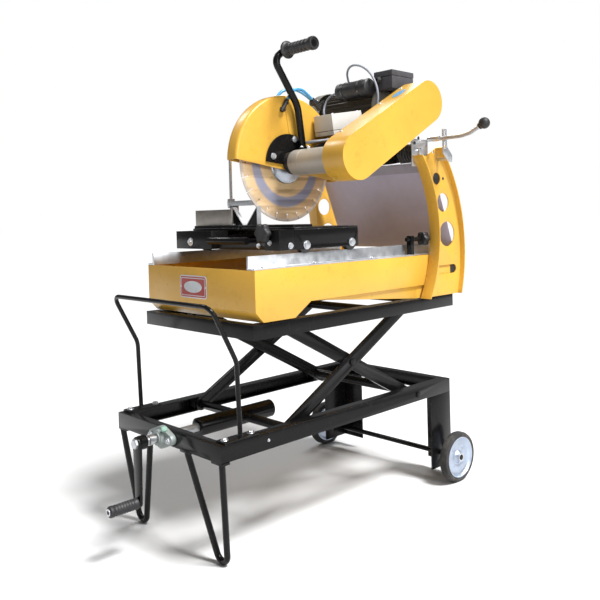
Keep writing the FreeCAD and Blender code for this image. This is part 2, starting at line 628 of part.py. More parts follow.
def make_spring():
    """Close coil around the pivot shaft, with a leg at each end."""
    wire = value("spring_wire") / 2
    start = value("spring_start") + wire
    height = value("spring_end") - wire - start
    coil = Part.makeHelix(height / 6, height, value("spring_radius"))
    ring = Part.Wire([Part.Circle(FreeCAD.Vector(value("spring_radius"), 0, 0),
                                  FreeCAD.Vector(0, 1, 0), wire).toShape()])
    sweep = Part.Wire(coil.Edges).makePipeShell([ring], True, True)
    sweep.rotate(FreeCAD.Vector(), FreeCAD.Vector(0, 1, 0), 90)
    sweep.translate(FreeCAD.Vector(start, value("head_pivot_y"), value("head_pivot_z")))
    return made(sweep)


def make_lock():
    """Head lock: a rod through the upright's top, a slotted plate and a lever."""
    outside = "upright_web_right + upright_sheet"
    rod = bar("X", 8, "lock_plate_x - (%s)" % outside, outside, "lock_y", "lock_z")
    spacer = bar("X", 5, "lock_plate_x - (%s)" % outside, outside, "lock_y + 47", "lock_z - 61")
    plate = side_plate([("lock_y + 11", "lock_z - 46"), ("lock_y + 38", "lock_z - 72"),
                        ("lock_y + 58", "lock_z - 72"), ("lock_y + 58", "lock_z - 50"),
                        ("lock_y + 32", "lock_z - 24"), ("lock_y + 32", "lock_z + 30"),
                        ("lock_y + 11", "lock_z + 30")], "lock_plate_x", 4)
    slots = [block("lock_plate_x - 1", "lock_y + 18", low_z, 6, 8, 22)
             for low_z in ("lock_z + 2", "lock_z - 32")]
    subpart("lock_plate", carve(plate, *slots), rod, spacer)
    lever = bent_bar([("lock_plate_x + 5", "lock_y", "lock_z - 1"),
                      ("lock_plate_x + 80", "lock_y", "lock_z"),
                      ("lock_plate_x + 112", "lock_y", "lock_z + 6"),
                      ("lock_plate_x + 150", "lock_y", "lock_z + 24")],
                     "lever_bar", [90, 60])
    ball = doc.addObject("Part::Sphere", "Ball")
    bind(ball, "Radius", "ball_radius")
    place(ball, "lock_plate_x + 162", "lock_y", "lock_z + 30")
    subpart("lock_lever", join(lever, ball))


def make_rail_stop():
    bracket = block("stop_x - 9", "stop_y", "tray_top + 4", 18, 14, "stop_z - tray_top + 7")
    hole = bar("Y", "stop_radius + run_fit", 20, "stop_x", "stop_y - 2", "stop_z")
    rod = bar("Y", "stop_radius", "stop_knob_y - stop_front_y", "stop_x", "stop_front_y",
              "stop_z")
    knob = star_knob("Y", 23, 24, "stop_x", "stop_knob_y - 1", "stop_z")
    subpart("rail_stop", join(rod, knob))
    return carve(bracket, hole)


def star_knob(axis, radius, length, x, y, z):
    """Knob with six rounded lobes."""
    core = bar(axis, radius - 6, length, x, y, z)
    lobes = []
    for index in range(6):
        angle = math.radians(60 * index)
        first = "%.4f" % ((radius - 6) * math.cos(angle))
        second = "%.4f" % ((radius - 6) * math.sin(angle))
        if axis == "Y":
            lobes.append(bar(axis, 6, length, "(%s) + %s" % (x, first), y,
                             "(%s) + %s" % (z, second)))
        else:
            lobes.append(bar(axis, 6, length, "(%s) + %s" % (x, first),
                             "(%s) + %s" % (y, second), z))
    return join(core, *lobes)


# ---------------------------------------------------------------- cutting head
def make_head():
    bore = "shaft_radius + run_fit"
    sleeve = bar("X", "sleeve_radius", "sleeve_end - sleeve_start", "sleeve_start",
                 "head_pivot_y", "head_pivot_z")
    web = [("arbor_y + 8", "arbor_z - 28"), ("arbor_y + 76", "arbor_z - 28"),
           ("head_pivot_y - 20", "head_pivot_z - 30"),
           ("head_pivot_y + 32", "head_pivot_z - 22"), ("head_pivot_y + 42", "deck_z"),
           ("deck_front", "deck_z"), ("arbor_y + 76", "arbor_z + 58"),
           ("arbor_y + 8", "arbor_z + 34")]
    plates = [side_plate(web, x, 8) for x in ("arm_left", "arm_right")]
    deck = block("deck_left", "deck_front", "deck_z", "deck_right - deck_left",
                 "deck_length", 8)
    feet = [block(x, "motor_y - 34", "deck_z + 7", 40, 68,
                  "motor_z - motor_radius - deck_z - 7.2") for x in (-86, 60)]
    feet.append(block("switch_x + 20", "switch_y + 96", "deck_z + 7", 40, 34, 3.8))
    arm = carve(join(sleeve, deck, *plates, *feet),
                bar("X", bore, "sleeve_end - sleeve_start + 4", "sleeve_start - 2",
                    "head_pivot_y", "head_pivot_z"),
                bar("X", "housing_radius + 0.1", 260, 0, "arbor_y", "arbor_z"))
    subpart("head_arm", arm)
    housing = tube("X", "housing_radius", "spindle_radius + run_fit",
                   "housing_end - housing_start", "housing_start", "arbor_y", "arbor_z")
    seal = tube("X", "seal_radius", "spindle_radius + run_fit",
                "housing_start - seal_start - 0.05", "seal_start", "arbor_y", "arbor_z")
    subpart("arbor_housing", housing, seal)


def make_motor():
    core = bar("X", "motor_radius - 9", "motor_end - motor_start", "motor_start", "motor_y",
               "motor_z")
    fins = []
    for index in range(24):
        angle = 360 / 24 * index
        lean = math.radians(angle)
        fin = block("motor_start + 6", "motor_y", "motor_z", "motor_end - motor_start - 12", 3,
                    "motor_radius", angle)
        place(fin, "motor_start + 6", "motor_y - %.4f" % (1.5 * math.cos(lean)),
              "motor_z - %.4f" % (1.5 * math.sin(lean)),
              FreeCAD.Rotation(FreeCAD.Vector(1, 0, 0), angle))
        fins.append(fin)
    bell = bar("X", "bell_radius", "bell_end - motor_end", "motor_end", "motor_y", "motor_z")
    shaft_hole = bar("X", "shaft_motor + run_fit", "bell_end - motor_start + 4",
                     "motor_start - 2", "motor_y", "motor_z")
    gland = bar("Z", 9, 26, "gland_x", "gland_y", "gland_top - 26")
    subpart("motor_body", carve(join(core, bell, gland, *fins), shaft_hole))
    cowl = turned([(0, "shaft_motor + 3"), (0, "cowl_radius - 22"), (6, "cowl_radius - 8"),
                   (18, "cowl_radius"), ("cowl_length", "cowl_radius"),
                   ("cowl_length", "cowl_radius - 2"), (19, "cowl_radius - 2"),
                   (8, "cowl_radius - 10"), (2, "cowl_radius - 23"), (2, "shaft_motor + 3")],
                  "cowl_start", "motor_y", "motor_z")
    spoke = [block("cowl_start - 1", "motor_y - 3 + %d" % offset, "motor_z - 48", 4, 6, 96)
             for offset in (-42, -28, 28, 42)]
    ring = tube("X", "cowl_radius - 2", "motor_radius + 0.5", 5, "motor_start - 6", "motor_y",
                "motor_z")
    subpart("fan_cowl", join(carve(cowl, *spoke), ring))
    subpart("capacitor", bar("X", "capacitor_radius", "capacitor_length", "capacitor_x",
                             "capacitor_y", "capacitor_z"))
    subpart("terminal_box", block("box_x", "box_y", "motor_z + bell_radius", "box_length",
                                  "box_width", "box_height"))


def make_switch_box():
    """Base and lid, both leaning back by the same angle, with a seam between them."""
    tilt = value("switch_tilt")
    lower = block("switch_x", "switch_y", "switch_z", "switch_wide", "switch_long",
                  "switch_base", tilt)
    lift = value("switch_base") + 0.1
    lid = block("switch_x - 1", "switch_y - %.4f" % (lift * math.sin(math.radians(tilt))),
                "switch_z + %.4f" % (lift * math.cos(math.radians(tilt))),
                "switch_wide + 2", "switch_long", "switch_lid", tilt)
    subpart("switch_box", lower, lid)


def make_drive():
    """What turns: arbor with blade and pulley, motor shaft with fan and pulley."""
    spindle = bar("X", "spindle_radius - 0.02", "pulley_end - spindle_start",
                  "spindle_start", "arbor_y", "arbor_z")
    flanges = [tube("X", "flange_radius", "spindle_radius", "flange_thick", x, "arbor_y",
                    "arbor_z") for x in ("blade_core/2 + 0.1",
                                         "-blade_core/2 - 0.1 - flange_thick")]
    nut = doc.addObject("Part::Prism", "Nut")
    nut.Polygon = 6
    nut.Circumradius = 21
    bind(nut, "Height", "nut_thick")
    place(nut, "-blade_core/2 - flange_thick - nut_thick - 0.2", "arbor_y", "arbor_z",
          TURNS["X"])
    nut_hole = bar("X", "spindle_radius", 60, -60, "arbor_y", "arbor_z")
    subpart("blade_flanges", carve(nut, nut_hole), *flanges)
    subpart("saw_blade", make_blade())
    pulleys = []
    for radius, bore, y, z in (
            ("pulley_driven", "spindle_radius", "arbor_y", "arbor_z"),
            ("pulley_motor", "shaft_motor + 0.02", "motor_y", "motor_z")):
        wheel = turned([(0, bore), (0, radius), (5, radius), (5, radius + " - 9"),
                        ("pulley_width - 5", radius + " - 9"), ("pulley_width - 5", radius),
                        ("pulley_width", radius), ("pulley_width", bore)],
                       "pulley_start", y, z)
        pulleys.append(wheel)
    subpart("arbor_shaft", spindle, pulleys[0])
    shaft = bar("X", "shaft_motor", "pulley_end - fan_start - 4", "fan_start + 4",
                "motor_y", "motor_z")
    blades = [block("fan_start", "motor_y - 1.5", "motor_z", 16, 3, "motor_radius - 8", angle)
              for angle in (0, 90, 180, 270)]
    fan = join(bar("X", "motor_radius - 8", 3, "fan_start + 16", "motor_y", "motor_z"),
               bar("X", "shaft_motor + 12", 18, "fan_start", "motor_y", "motor_z"), *blades)
    subpart("motor_shaft", join(shaft, fan), pulleys[1])
    subpart("drive_belt", make_belt())


def make_blade():
    """Segmented blade: keyhole slots part the rim into segments."""
    disc = tube("X", "blade_radius", "spindle_radius", "blade_core", "-blade_core/2",
                "arbor_y", "arbor_z")
    cutters = []
    for index in range(24):
        angle = 15 * index
        lean = math.radians(angle)
        across = (math.cos(lean), math.sin(lean))
        outward = (-math.sin(lean), math.cos(lean))
        depth = value("blade_radius - slot_depth")
        y = "arbor_y + %.4f" % (outward[0] * depth - across[0] * 1.2)
        z = "arbor_z + %.4f" % (outward[1] * depth - across[1] * 1.2)
        slot = block("-blade_core", y, z, "2*blade_core", 2.4, "slot_depth + 2", angle)
        eye = bar("X", 3, "2*blade_core", "-blade_core",
                  "arbor_y + %.4f" % (outward[0] * depth),
                  "arbor_z + %.4f" % (outward[1] * depth))
        cutters += [slot, eye]
    return carve(disc, *cutters)


def stadium(low_radius, high_radius, x, length):
    """Solid round both pulleys: two discs and the band between their outer tangents."""
    low = FreeCAD.Vector(0, value("arbor_y"), value("arbor_z"))
    high = FreeCAD.Vector(0, value("motor_y"), value("motor_z"))
    along = (high - low).normalize()
    across = FreeCAD.Vector(0, -along.z, along.y)
    lean = (value(low_radius) - value(high_radius)) / (high - low).Length
    outline = []
    for side in (1, -1):
        normal = across * (side * math.sqrt(1 - lean * lean)) + along * lean
        outline.append((low + normal * value(low_radius), high + normal * value(high_radius)))
    edges = [Part.LineSegment(*outline[0]).toShape(),
             Part.Arc(outline[0][1], high + along * value(high_radius),
                      outline[1][1]).toShape(),
             Part.LineSegment(outline[1][1], outline[1][0]).toShape(),
             Part.Arc(outline[1][0], low - along * value(low_radius),
                      outline[0][0]).toShape()]
    solid = Part.Face(Part.Wire(edges)).extrude(FreeCAD.Vector(value(length), 0, 0))
    solid.translate(FreeCAD.Vector(value(x), 0, 0))
    return made(solid)


def make_belt():
    inner = ("pulley_driven - 8.5", "pulley_motor - 8.5")
    outer = ("pulley_driven - 8.5 + belt_thick", "pulley_motor - 8.5 + belt_thick")
    width = "pulley_width - 12"
    return carve(stadium(*outer, "pulley_start + 6", width),
                 stadium(*inner, "pulley_start + 6", width))


def make_guards():
    shell = stadium("guard_low_radius", "guard_high_radius", "guard_x", "guard_depth")
    room = stadium("guard_low_radius - guard_wall", "guard_high_radius - guard_wall",
                   "guard_x + guard_wall", "guard_depth - 2*guard_wall")
    holes = [bar("X", "spindle_radius + 3", 12, "guard_x - 2", "arbor_y", "arbor_z"),
             bar("X", "shaft_motor + 3", 12, "guard_x - 2", "motor_y", "motor_z")]
    subpart("belt_guard", carve(shell, room, *holes))
    # blade guard: upper half of a drum, closed at both sides
    drum = bar("X", "hood_radius", "hood_width", "hood_x", "arbor_y", "arbor_z")
    hollow = bar("X", "hood_radius - hood_sheet", "hood_width - 2*hood_sheet",
                 "hood_x + hood_sheet", "arbor_y", "arbor_z")
    half = common(drum, block("hood_x - 5", "arbor_y - 220", "hood_edge_z", "hood_width + 10",
                              460, 300, value("hood_tilt")))
    side_hole = bar("X", "spindle_radius + 3", 100, -40, "arbor_y", "arbor_z")
    subpart("blade_guard", carve(half, hollow, side_hole))
    half_round = common(
        bar("X", 88, 5.6, "hood_x + hood_width + 0.1", "arbor_y - 10", "arbor_z"),
        block(0, "arbor_y - 120", "arbor_z - 4", 60, 240, 120, -2))
    bracket = carve(half_round, bar("X", "seal_radius + 0.2", 60, 0, "arbor_y", "arbor_z"))
    bracket_x = "hood_x + hood_width + 5.8"
    heads = [bolt("X", 8, bracket_x, y, z, 6) for y, z in (
        ("arbor_y - 72", "arbor_z + 18"), ("arbor_y + 14", "arbor_z + 72"))]
    subpart("hood_bracket", bracket, *heads)


def make_feed_handle():
    """Bent tube from the guard's bracket up to a cross grip."""
    tube_x = "handle_x"
    bent = bent_bar([(tube_x, "arbor_y + 32", "arbor_z + 50"),
                     (tube_x, "arbor_y + 15", "arbor_z + 171"),
                     (tube_x, "arbor_y - 72", "arbor_z + 298"),
                     (tube_x, "handle_y", "handle_z"),
                     ("handle_end", "handle_y", "handle_z")], "handle_bar", [80, 26, 16])
    foot = block("hood_x + hood_width + 5.8", "arbor_y + 20", "arbor_z + 40", 20, 24, 26)
    subpart("feed_handle", join(bent, foot))
    grip = turned([(0, "handle_bar/2 + 0.1"), (0, 26), (6, 26), (12, 17), ("grip_long - 6", 17),
                   ("grip_long", 12), ("grip_long", "handle_bar/2 + 0.1")],
                  "handle_end - grip_long + 2", "handle_y", "handle_z")
    subpart("handle_grip", grip)


def make_hoses():
    elbows = []
    for low_x in ("hood_x + hood_width + 0.1", "hood_x - 12.1"):
        elbows.append(join(block(low_x, "arbor_y - 36", "arbor_z + 152", 12, 14, 30),
                           bar("Z", 6, 14, low_x + " + 6", "arbor_y - 12", "arbor_z + 174"),
                           block(low_x, "arbor_y - 30", "arbor_z + 170", 12, 24, 10)))
    elbow_top = "arbor_z + 188.2"
    right_x = "hood_x + hood_width + 5.4"
    left_x = "hood_x - 6.1"
    subpart("hose_right", bent_bar([
        (right_x, "arbor_y - 12", elbow_top), (right_x, "arbor_y + 2", "arbor_z + 213"),
        ("hood_x + 50", "arbor_y + 33", "arbor_z + 227"),
        ("hood_x + 47", "arbor_y + 65", "arbor_z + 225"),
        ("hood_x + 43", "arbor_y + 98", "arbor_z + 203")], "hose_bar"))
    subpart("hose_left", bent_bar([
        (left_x, "arbor_y - 12", elbow_top), (left_x, "arbor_y + 6", "arbor_z + 220"),
        ("hood_x + 2", "arbor_y + 42", "arbor_z + 234"),
        ("hood_x + 13", "arbor_y + 82", "arbor_z + 230"),
        ("hood_x + 25", "arbor_y + 112", "arbor_z + 204")], "hose_bar"))
    tee = join(block("hood_x + 19", "arbor_y + 97", "arbor_z + 185", 30, 34, 16),
               block("hood_x + 22", "arbor_y + 120", "arbor_z + 172", 20, 20, 20))
    subpart("hose_fittings", tee, *elbows)


def make_cables():
    # from the gland on the motor, up over the capacitor and down to the switch box
    subpart("motor_cable", bent_bar([
        ("gland_x", "gland_y", "gland_top + 0.2"),
        ("gland_x - 2", "gland_y - 8", "gland_top + 32"),
        ("gland_x + 10", "gland_y - 30", "gland_top + 60"),
        ("gland_x + 46", "gland_y - 46", "gland_top + 77"),
        ("gland_x + 94", "gland_y - 50", "gland_top + 67"),
        ("gland_x + 134", "gland_y - 50", "gland_top + 37"),
        ("gland_x + 158", "gland_y - 50", "gland_top - 6"),
        ("gland_x + 164", "gland_y - 51", "gland_top - 52"),
        ("gland_x + 152", "gland_y - 56", "gland_top - 90"),
        ("gland_x + 132", "gland_y - 65", "gland_top - 110"),
        ("gland_x + 109.2", "gland_y - 72", "gland_top - 117")], "cable_bar"))
    # from the end of the capacitor down to the switch box
    subpart("drop_cable", bent_bar([
        ("capacitor_x - 0.2", "capacitor_y", "capacitor_z"),
        ("capacitor_x - 27", "capacitor_y - 2", "capacitor_z"),
        ("capacitor_x - 52", "capacitor_y - 7", "capacitor_z - 16"),
        ("capacitor_x - 61", "capacitor_y - 14", "capacitor_z - 42"),
        ("capacitor_x - 53", "capacitor_y - 24", "capacitor_z - 67"),
        ("capacitor_x - 31", "capacitor_y - 32", "capacitor_z - 84"),
        ("capacitor_x + 3", "capacitor_y - 36", "capacitor_z - 95"),
        ("capacitor_x + 33.8", "capacitor_y - 38", "capacitor_z - 100")], "cable_bar"))
    # spare length, tucked forward under the switch box in one flat loop
    subpart("loop_cable", bent_bar([
        (62, "deck_front - 0.2", "deck_z + 4"), (61, "deck_front - 42", "deck_z - 4"),
        (59, "deck_front - 86", "deck_z - 12"), (58, "deck_front - 128", "deck_z - 22"),
        (58, "deck_front - 161", "deck_z - 27"), (76, "deck_front - 179", "deck_z - 28"),
        (102, "deck_front - 179", "deck_z - 27"), (120, "deck_front - 161", "deck_z - 26"),
        (119, "deck_front - 126", "deck_z - 20"), (117, "deck_front - 84", "deck_z - 11"),
        (113, "deck_front - 42", "deck_z - 3"), (110, "deck_front - 0.2", "deck_z + 4")],
        "cable_bar"))


# ---------------------------------------------------------------- cart
def make_cart():
    half = "cart_half"
    height = "cart_top - cart_bottom"
    pieces = [block("-cart_half", "cart_front", "cart_bottom", 178, 62, height),
              block("-56", "cart_front + 22", "cart_bottom", 260, 44, 29),
              block("cart_half - 58", "cart_front + 5", "cart_bottom", 58, 54, height + " + 2")]
    for side, sign in SIDES:
        low_x = from_side(sign, half + " - member_wide", "member_wide")
        pieces.append(block(low_x, "cart_front + 60", "cart_bottom", "member_wide",
                            "cart_rear - cart_front - 60", height))
    pieces.append(block("-cart_half + 2", "cart_rear - 50", "cart_bottom", "2*cart_half - 4",
                        50, 29))
    body = join(*pieces)
    troughs = []
    for side, sign in SIDES:
        low_x = from_side(sign, half + " - member_wide + 4", "member_wide - 8")
        troughs.append(block(low_x, "cart_front + 64", "cart_bottom - 1", "member_wide - 8",
                             "cart_rear - cart_front - 66.5", height + " - 3"))
    axles = []
    for y in ("roller_front_y", "roller_rear_y"):
        axles.append(bar("X", "axle_bolt", "2*cart_half + 4", "-cart_half - 2", y, "roller_z"))
    frame = carve(body, *troughs, *axles)
    bolts = []
    for side, sign in SIDES:
        for y in ("roller_front_y", "roller_rear_y"):
            bolts.append(join(bolt("X", 9, from_side(sign, half, 6), y, "roller_z"),
                              bar("X", "axle_bolt - 0.1", "member_wide",
                                  from_side(sign, half + " - member_wide", "member_wide"), y,
                                  "roller_z")))
    frame = carve(frame, bar("Y", "knob_stud + run_fit", 42, "knob_x", "cart_front + 4",
                             "knob_z"))
    subpart("cart_frame", frame, *bolts)
    for name, y in (("front", "roller_front_y"), ("rear", "roller_rear_y")):
        rollers = []
        for side, sign in SIDES:
            rollers.append(turned([
                (0, "axle_bolt + run_fit"), (0, "cart_roller + 2.5"), (3, "cart_roller + 2.5"),
                (4, "cart_roller"), (12, "cart_roller"), (13, "cart_roller + 2.5"),
                (16, "cart_roller + 2.5"), (16, "axle_bolt + run_fit")],
                from_side(sign, "rail_x + rail_wall/2 - 8", 16), y, "roller_z"))
        subpart("cart_rollers_" + name, *rollers)
    # a front panel with a raised strip for the fittings, and a clear panel behind for the work
    panels = []
    for side, sign in SIDES:
        width = "cart_half - slot_half"
        low_x = from_side(sign, "slot_half", width)
        panels.append(join(
            block(low_x, "cart_front + 60", "cart_top + 0.1", width, "front_panel", "cart_deck"),
            block(from_side(sign, "slot_half", width + " - 5"), "cart_front + 62",
                  "cart_top + 0.1", width + " - 5", "strip_depth", "cart_deck + 8.1")))
        panels.append(block(low_x, "cart_front + 60.2 + front_panel", "cart_top + 0.1", width,
                            "cart_rear - cart_front - 60.2 - front_panel", "cart_deck"))
    subpart("cart_deck", *panels)
    subpart("cart_pull_bar", bar("X", 10, "cart_half - 60", "-54.9", "cart_front - 8",
                                 "cart_bottom + 25"))


def make_cart_fittings():
    base = "cart_top + cart_deck + 8.3"
    cradle = [front_plate([("slot_half", base), ("cradle_half", base),
                           ("cradle_half", "cradle_top"), ("cradle_half - 3", "cradle_top"),
                           ("slot_half", base + " + 2")], "cradle_y", 24),
              front_plate([("-slot_half", base), ("-cradle_half", base),
                           ("-cradle_half", "cradle_top"), ("3 - cradle_half", "cradle_top"),
                           ("-slot_half", base + " + 2")], "cradle_y", 24)]
    subpart("pipe_cradle", *cradle)
    fence = join(block("fence_left", "fence_y", base, "fence_long", 4, "fence_top - fence_low"),
                 block("fence_left", "fence_y + 3", base, "fence_long", 11, 4))
    subpart("fence", fence)
    rod = bar("Z", "clamp_rod", "clamp_top - cart_top - cart_deck - 0.2", "clamp_x", "clamp_y",
              "cart_top + cart_deck + 0.2")
    foot = bar("Z", 12, 16, "clamp_x", "clamp_y", "cart_top + cart_deck + 0.2")
    deck = "cart_top + cart_deck + 0.2"
    bracket = join(block("clamp_x - 16", "clamp_y - 10", deck, 32, 26.4, 5),
                   block("clamp_x - 16", "clamp_y + 12.4", deck, 32, 4,
                         "clamp_z + 3 - cart_top - cart_deck"))
    subpart("clamp_post", join(rod, foot, bracket))
    hole = bar("Z", "clamp_rod + run_fit", 80, "clamp_x", "clamp_y", "clamp_z - 30")
    arm = join(block("clamp_x - 9", "clamp_y - 8", "clamp_z", "clamp_reach", 16, 15),
               bar("Z", 11, 28, "clamp_x", "clamp_y", "clamp_z - 6"))
    pad = block("clamp_x - 9 + clamp_reach + 0.1", "clamp_y - 9", "clamp_z - 3", 12, 18, 21)
    subpart("clamp_arm", carve(arm, hole), pad)
    subpart("cart_lock", join(
        star_knob("Y", DIMENSIONS["knob_radius"], 18, "knob_x", "knob_y", "knob_z"),
        bar("Y", "knob_stud", 52, "knob_x", "knob_y + 10", "knob_z")))
    subpart("tray_plate", block("plate_left", "tray_front - 1.6", "plate_low", "plate_long",
                                1.5, "plate_high"))


doc = FreeCAD.newDocument("masonry_saw")
sheet = doc.addObject("Spreadsheet::Sheet", "Dims")
for row, (alias, number) in enumerate(DIMENSIONS.items(), start=1):
    sheet.set("A%d" % row, alias)
    sheet.set("B%d" % row, str(number))
    sheet.setAlias("B%d" % row, alias)
doc.recompute()

make_stand()
make_crank()
make_wheels()
make_scissor()
make_yoke()
make_table()
make_uprights()
make_lock()
make_head()
make_motor()
make_switch_box()
make_drive()
make_guards()
make_feed_handle()
make_hoses()
make_cables()
make_cart()
make_cart_fittings()

doc.recompute()
os.makedirs("parts", exist_ok=True)
for thing in doc.Objects:
    state = thing.State
    if "Invalid" in state or "Error" in state:
        raise SystemExit("failed: %s %s" % (thing.Label, state))
for thing in nodes:
    if thing.Shape.isNull() or not thing.Shape.isValid():
        raise SystemExit("bad shape: " + thing.Label)
    thing.Shape.exportStep("parts/%s.step" % thing.Label)
    box = thing.Shape.BoundBox
    print("%-16s solids %d  volume %.0f  x %.0f..%.0f  y %.0f..%.0f  z %.0f..%.0f" % (
        thing.Label, len(thing.Shape.Solids), thing.Shape.Volume / 1000,
        box.XMin - value("datum_x"), box.XMax - value("datum_x"), box.YMin - value("datum_y"),
        box.YMax - value("datum_y"), box.ZMin, box.ZMax))
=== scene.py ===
import json
import math
import bmesh
import bpy
from mathutils import Matrix, Vector


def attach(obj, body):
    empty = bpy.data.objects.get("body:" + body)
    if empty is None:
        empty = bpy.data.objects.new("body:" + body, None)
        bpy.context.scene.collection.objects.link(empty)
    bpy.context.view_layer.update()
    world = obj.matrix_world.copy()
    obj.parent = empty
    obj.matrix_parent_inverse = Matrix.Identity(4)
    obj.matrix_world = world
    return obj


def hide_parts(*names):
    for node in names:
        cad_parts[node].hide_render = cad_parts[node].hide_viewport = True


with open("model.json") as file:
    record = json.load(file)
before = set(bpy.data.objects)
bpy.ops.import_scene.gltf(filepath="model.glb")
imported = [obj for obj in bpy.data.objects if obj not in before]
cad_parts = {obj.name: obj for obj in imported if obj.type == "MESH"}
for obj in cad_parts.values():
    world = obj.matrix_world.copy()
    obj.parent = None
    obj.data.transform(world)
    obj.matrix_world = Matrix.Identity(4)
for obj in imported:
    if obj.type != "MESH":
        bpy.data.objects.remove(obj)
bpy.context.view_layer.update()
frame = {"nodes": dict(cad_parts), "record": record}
NODES = frame["nodes"]
BODY_OF = {node: body for body, members in frame["record"]["behaviour"]["bodies"].items() for node in
    members}
SLOT_OF = {row["node"]: row["material_slot"] for row in frame["record"]["subparts"]}
DATUM = Vector((-81.5, -409.4, 0.0))


def P(x, y, z):
    """Point of the saw's own datum, in mm, as a point of the frame, in metres."""
    return (Vector((x, y, z)) + DATUM) / 1000


# ---- materials
MATERIALS = {}


def shader(name):
    """A new material's node tree and surface shader."""
    material = bpy.data.materials.new(name)
    material.use_nodes = True
    MATERIALS[name] = material
    return material.node_tree, material.node_tree.nodes["Principled BSDF"]


def add(tree, kind, **values):
    """New node with values set on its sockets."""
    node = tree.nodes.new("ShaderNode" + kind)
    for socket, value in values.items():
        node.inputs[socket].default_value = value
    return node


def noise(tree, scale, detail=4.0, rough=0.55):
    node = add(tree, "TexNoise", Scale=scale, Detail=detail, Roughness=rough)
    tree.links.new(add(tree, "TexCoord").outputs["Object"], node.inputs["Vector"])
    return node.outputs["Fac"]


def ramp(tree, source, stops):
    """Colour ramp over (place, colour or grey) stops."""
    node = add(tree, "ValToRGB")
    band = node.color_ramp
    while len(band.elements) < len(stops):
        band.elements.new(0.5)
    for element, (place, colour) in zip(band.elements, stops):
        element.position = place
        if not hasattr(colour, "__len__"):
            colour = (colour, colour, colour)
        element.color = tuple(colour[:3]) + (1.0,)
    tree.links.new(source, node.inputs["Fac"])
    return node.outputs["Color"]


def mix(tree, factor, first, second):
    node = add(tree, "Mix")
    node.data_type = "RGBA"
    for socket, item in ((node.inputs[0], factor), (node.inputs[6], first), (node.inputs[7], second)):
        if hasattr(item, "links"):
            tree.links.new(item, socket)
        else:
            socket.default_value = tuple(item[:3]) + (1.0,)
    return node.outputs[2]


def bump(tree, bsdf, source, strength, distance):
    node = add(tree, "Bump", Strength=strength, Distance=distance)
    tree.links.new(source, node.inputs["Height"])
    tree.links.new(node.outputs["Normal"], bsdf.inputs["Normal"])


def shade(colour, factor):
    return tuple(min(1.0, c * factor) for c in colour[:3])


def painted(name, colour, rough, dirt=(0.10, 0.07, 0.04), dirty=0.35, chips=0.0,
        chip_colour=(0.07, 0.055, 0.045), metallic=0.0, shine=0.5):
    """Coated surface: uneven tone, grime, chips down to what is below, slight orange peel."""
    tree, bsdf = shader(name)
    tone = ramp(tree, noise(tree, 4.5, 5, 0.6), [(0.3, shade(colour, 0.88)), (0.7, shade(colour, 1.05))])
    grime = ramp(tree, noise(tree, 38, 9, 0.72), [(0.56, 0.0), (0.72, dirty)])
    surface = mix(tree, grime, tone, dirt)
    if chips:
        mask = ramp(tree, noise(tree, 95, 8, 0.7), [(0.69 - chips, 0.0), (0.72 - chips, 1.0)])
        surface = mix(tree, mask, surface, chip_colour)
    tree.links.new(surface, bsdf.inputs["Base Color"])
    gloss = ramp(tree, noise(tree, 14, 6, 0.65), [(0.3, rough * 0.8), (0.75, rough * 1.5)])
    tree.links.new(gloss, bsdf.inputs["Roughness"])
    bsdf.inputs["Metallic"].default_value = metallic
    bsdf.inputs["Specular IOR Level"].default_value = shine
    bump(tree, bsdf, noise(tree, 420, 3, 0.5), 0.06, 0.0006)


def metal(name, colour, rough, stained=0.3, grain=0.12):
    """Bare or plated metal: fine grain, stains and uneven gloss."""
    tree, bsdf = shader(name)
    tone = ramp(tree, noise(tree, 9, 6, 0.62), [(0.3, shade(colour, 0.72)), (0.7, shade(colour, 1.1))])
    spots = ramp(tree, noise(tree, 60, 8, 0.7), [(0.55, 0.0), (0.75, stained)])
    tree.links.new(mix(tree, spots, tone, (0.18, 0.13, 0.09)), bsdf.inputs["Base Color"])
    bsdf.inputs["Metallic"].default_value = 0.9
    gloss = ramp(tree, noise(tree, 22, 7, 0.7), [(0.3, rough * 0.7), (0.75, rough * 1.6)])
    tree.links.new(gloss, bsdf.inputs["Roughness"])
    bump(tree, bsdf, noise(tree, 260, 4, 0.6), grain, 0.0006)


def plastic(name, colour, rough, variation=0.2, grain=0.1, dusty=0.15):
    """Moulded surface under a thin film of dust."""
    tree, bsdf = shader(name)
    tone = ramp(tree, noise(tree, 11, 5, 0.6), [(0.3, shade(colour, 1 - variation)),
        (0.7, shade(colour, 1 + variation))])
    film = ramp(tree, noise(tree, 27, 8, 0.7), [(0.5, 0.0), (0.8, dusty)])
    tree.links.new(mix(tree, film, tone, (0.3, 0.27, 0.23)), bsdf.inputs["Base Color"])
    gloss = ramp(tree, noise(tree, 30, 6, 0.6), [(0.3, rough * 0.85), (0.7, min(1, rough * 1.3))])
    tree.links.new(gloss, bsdf.inputs["Roughness"])
    bump(tree, bsdf, noise(tree, 600, 3, 0.5), grain, 0.0004)


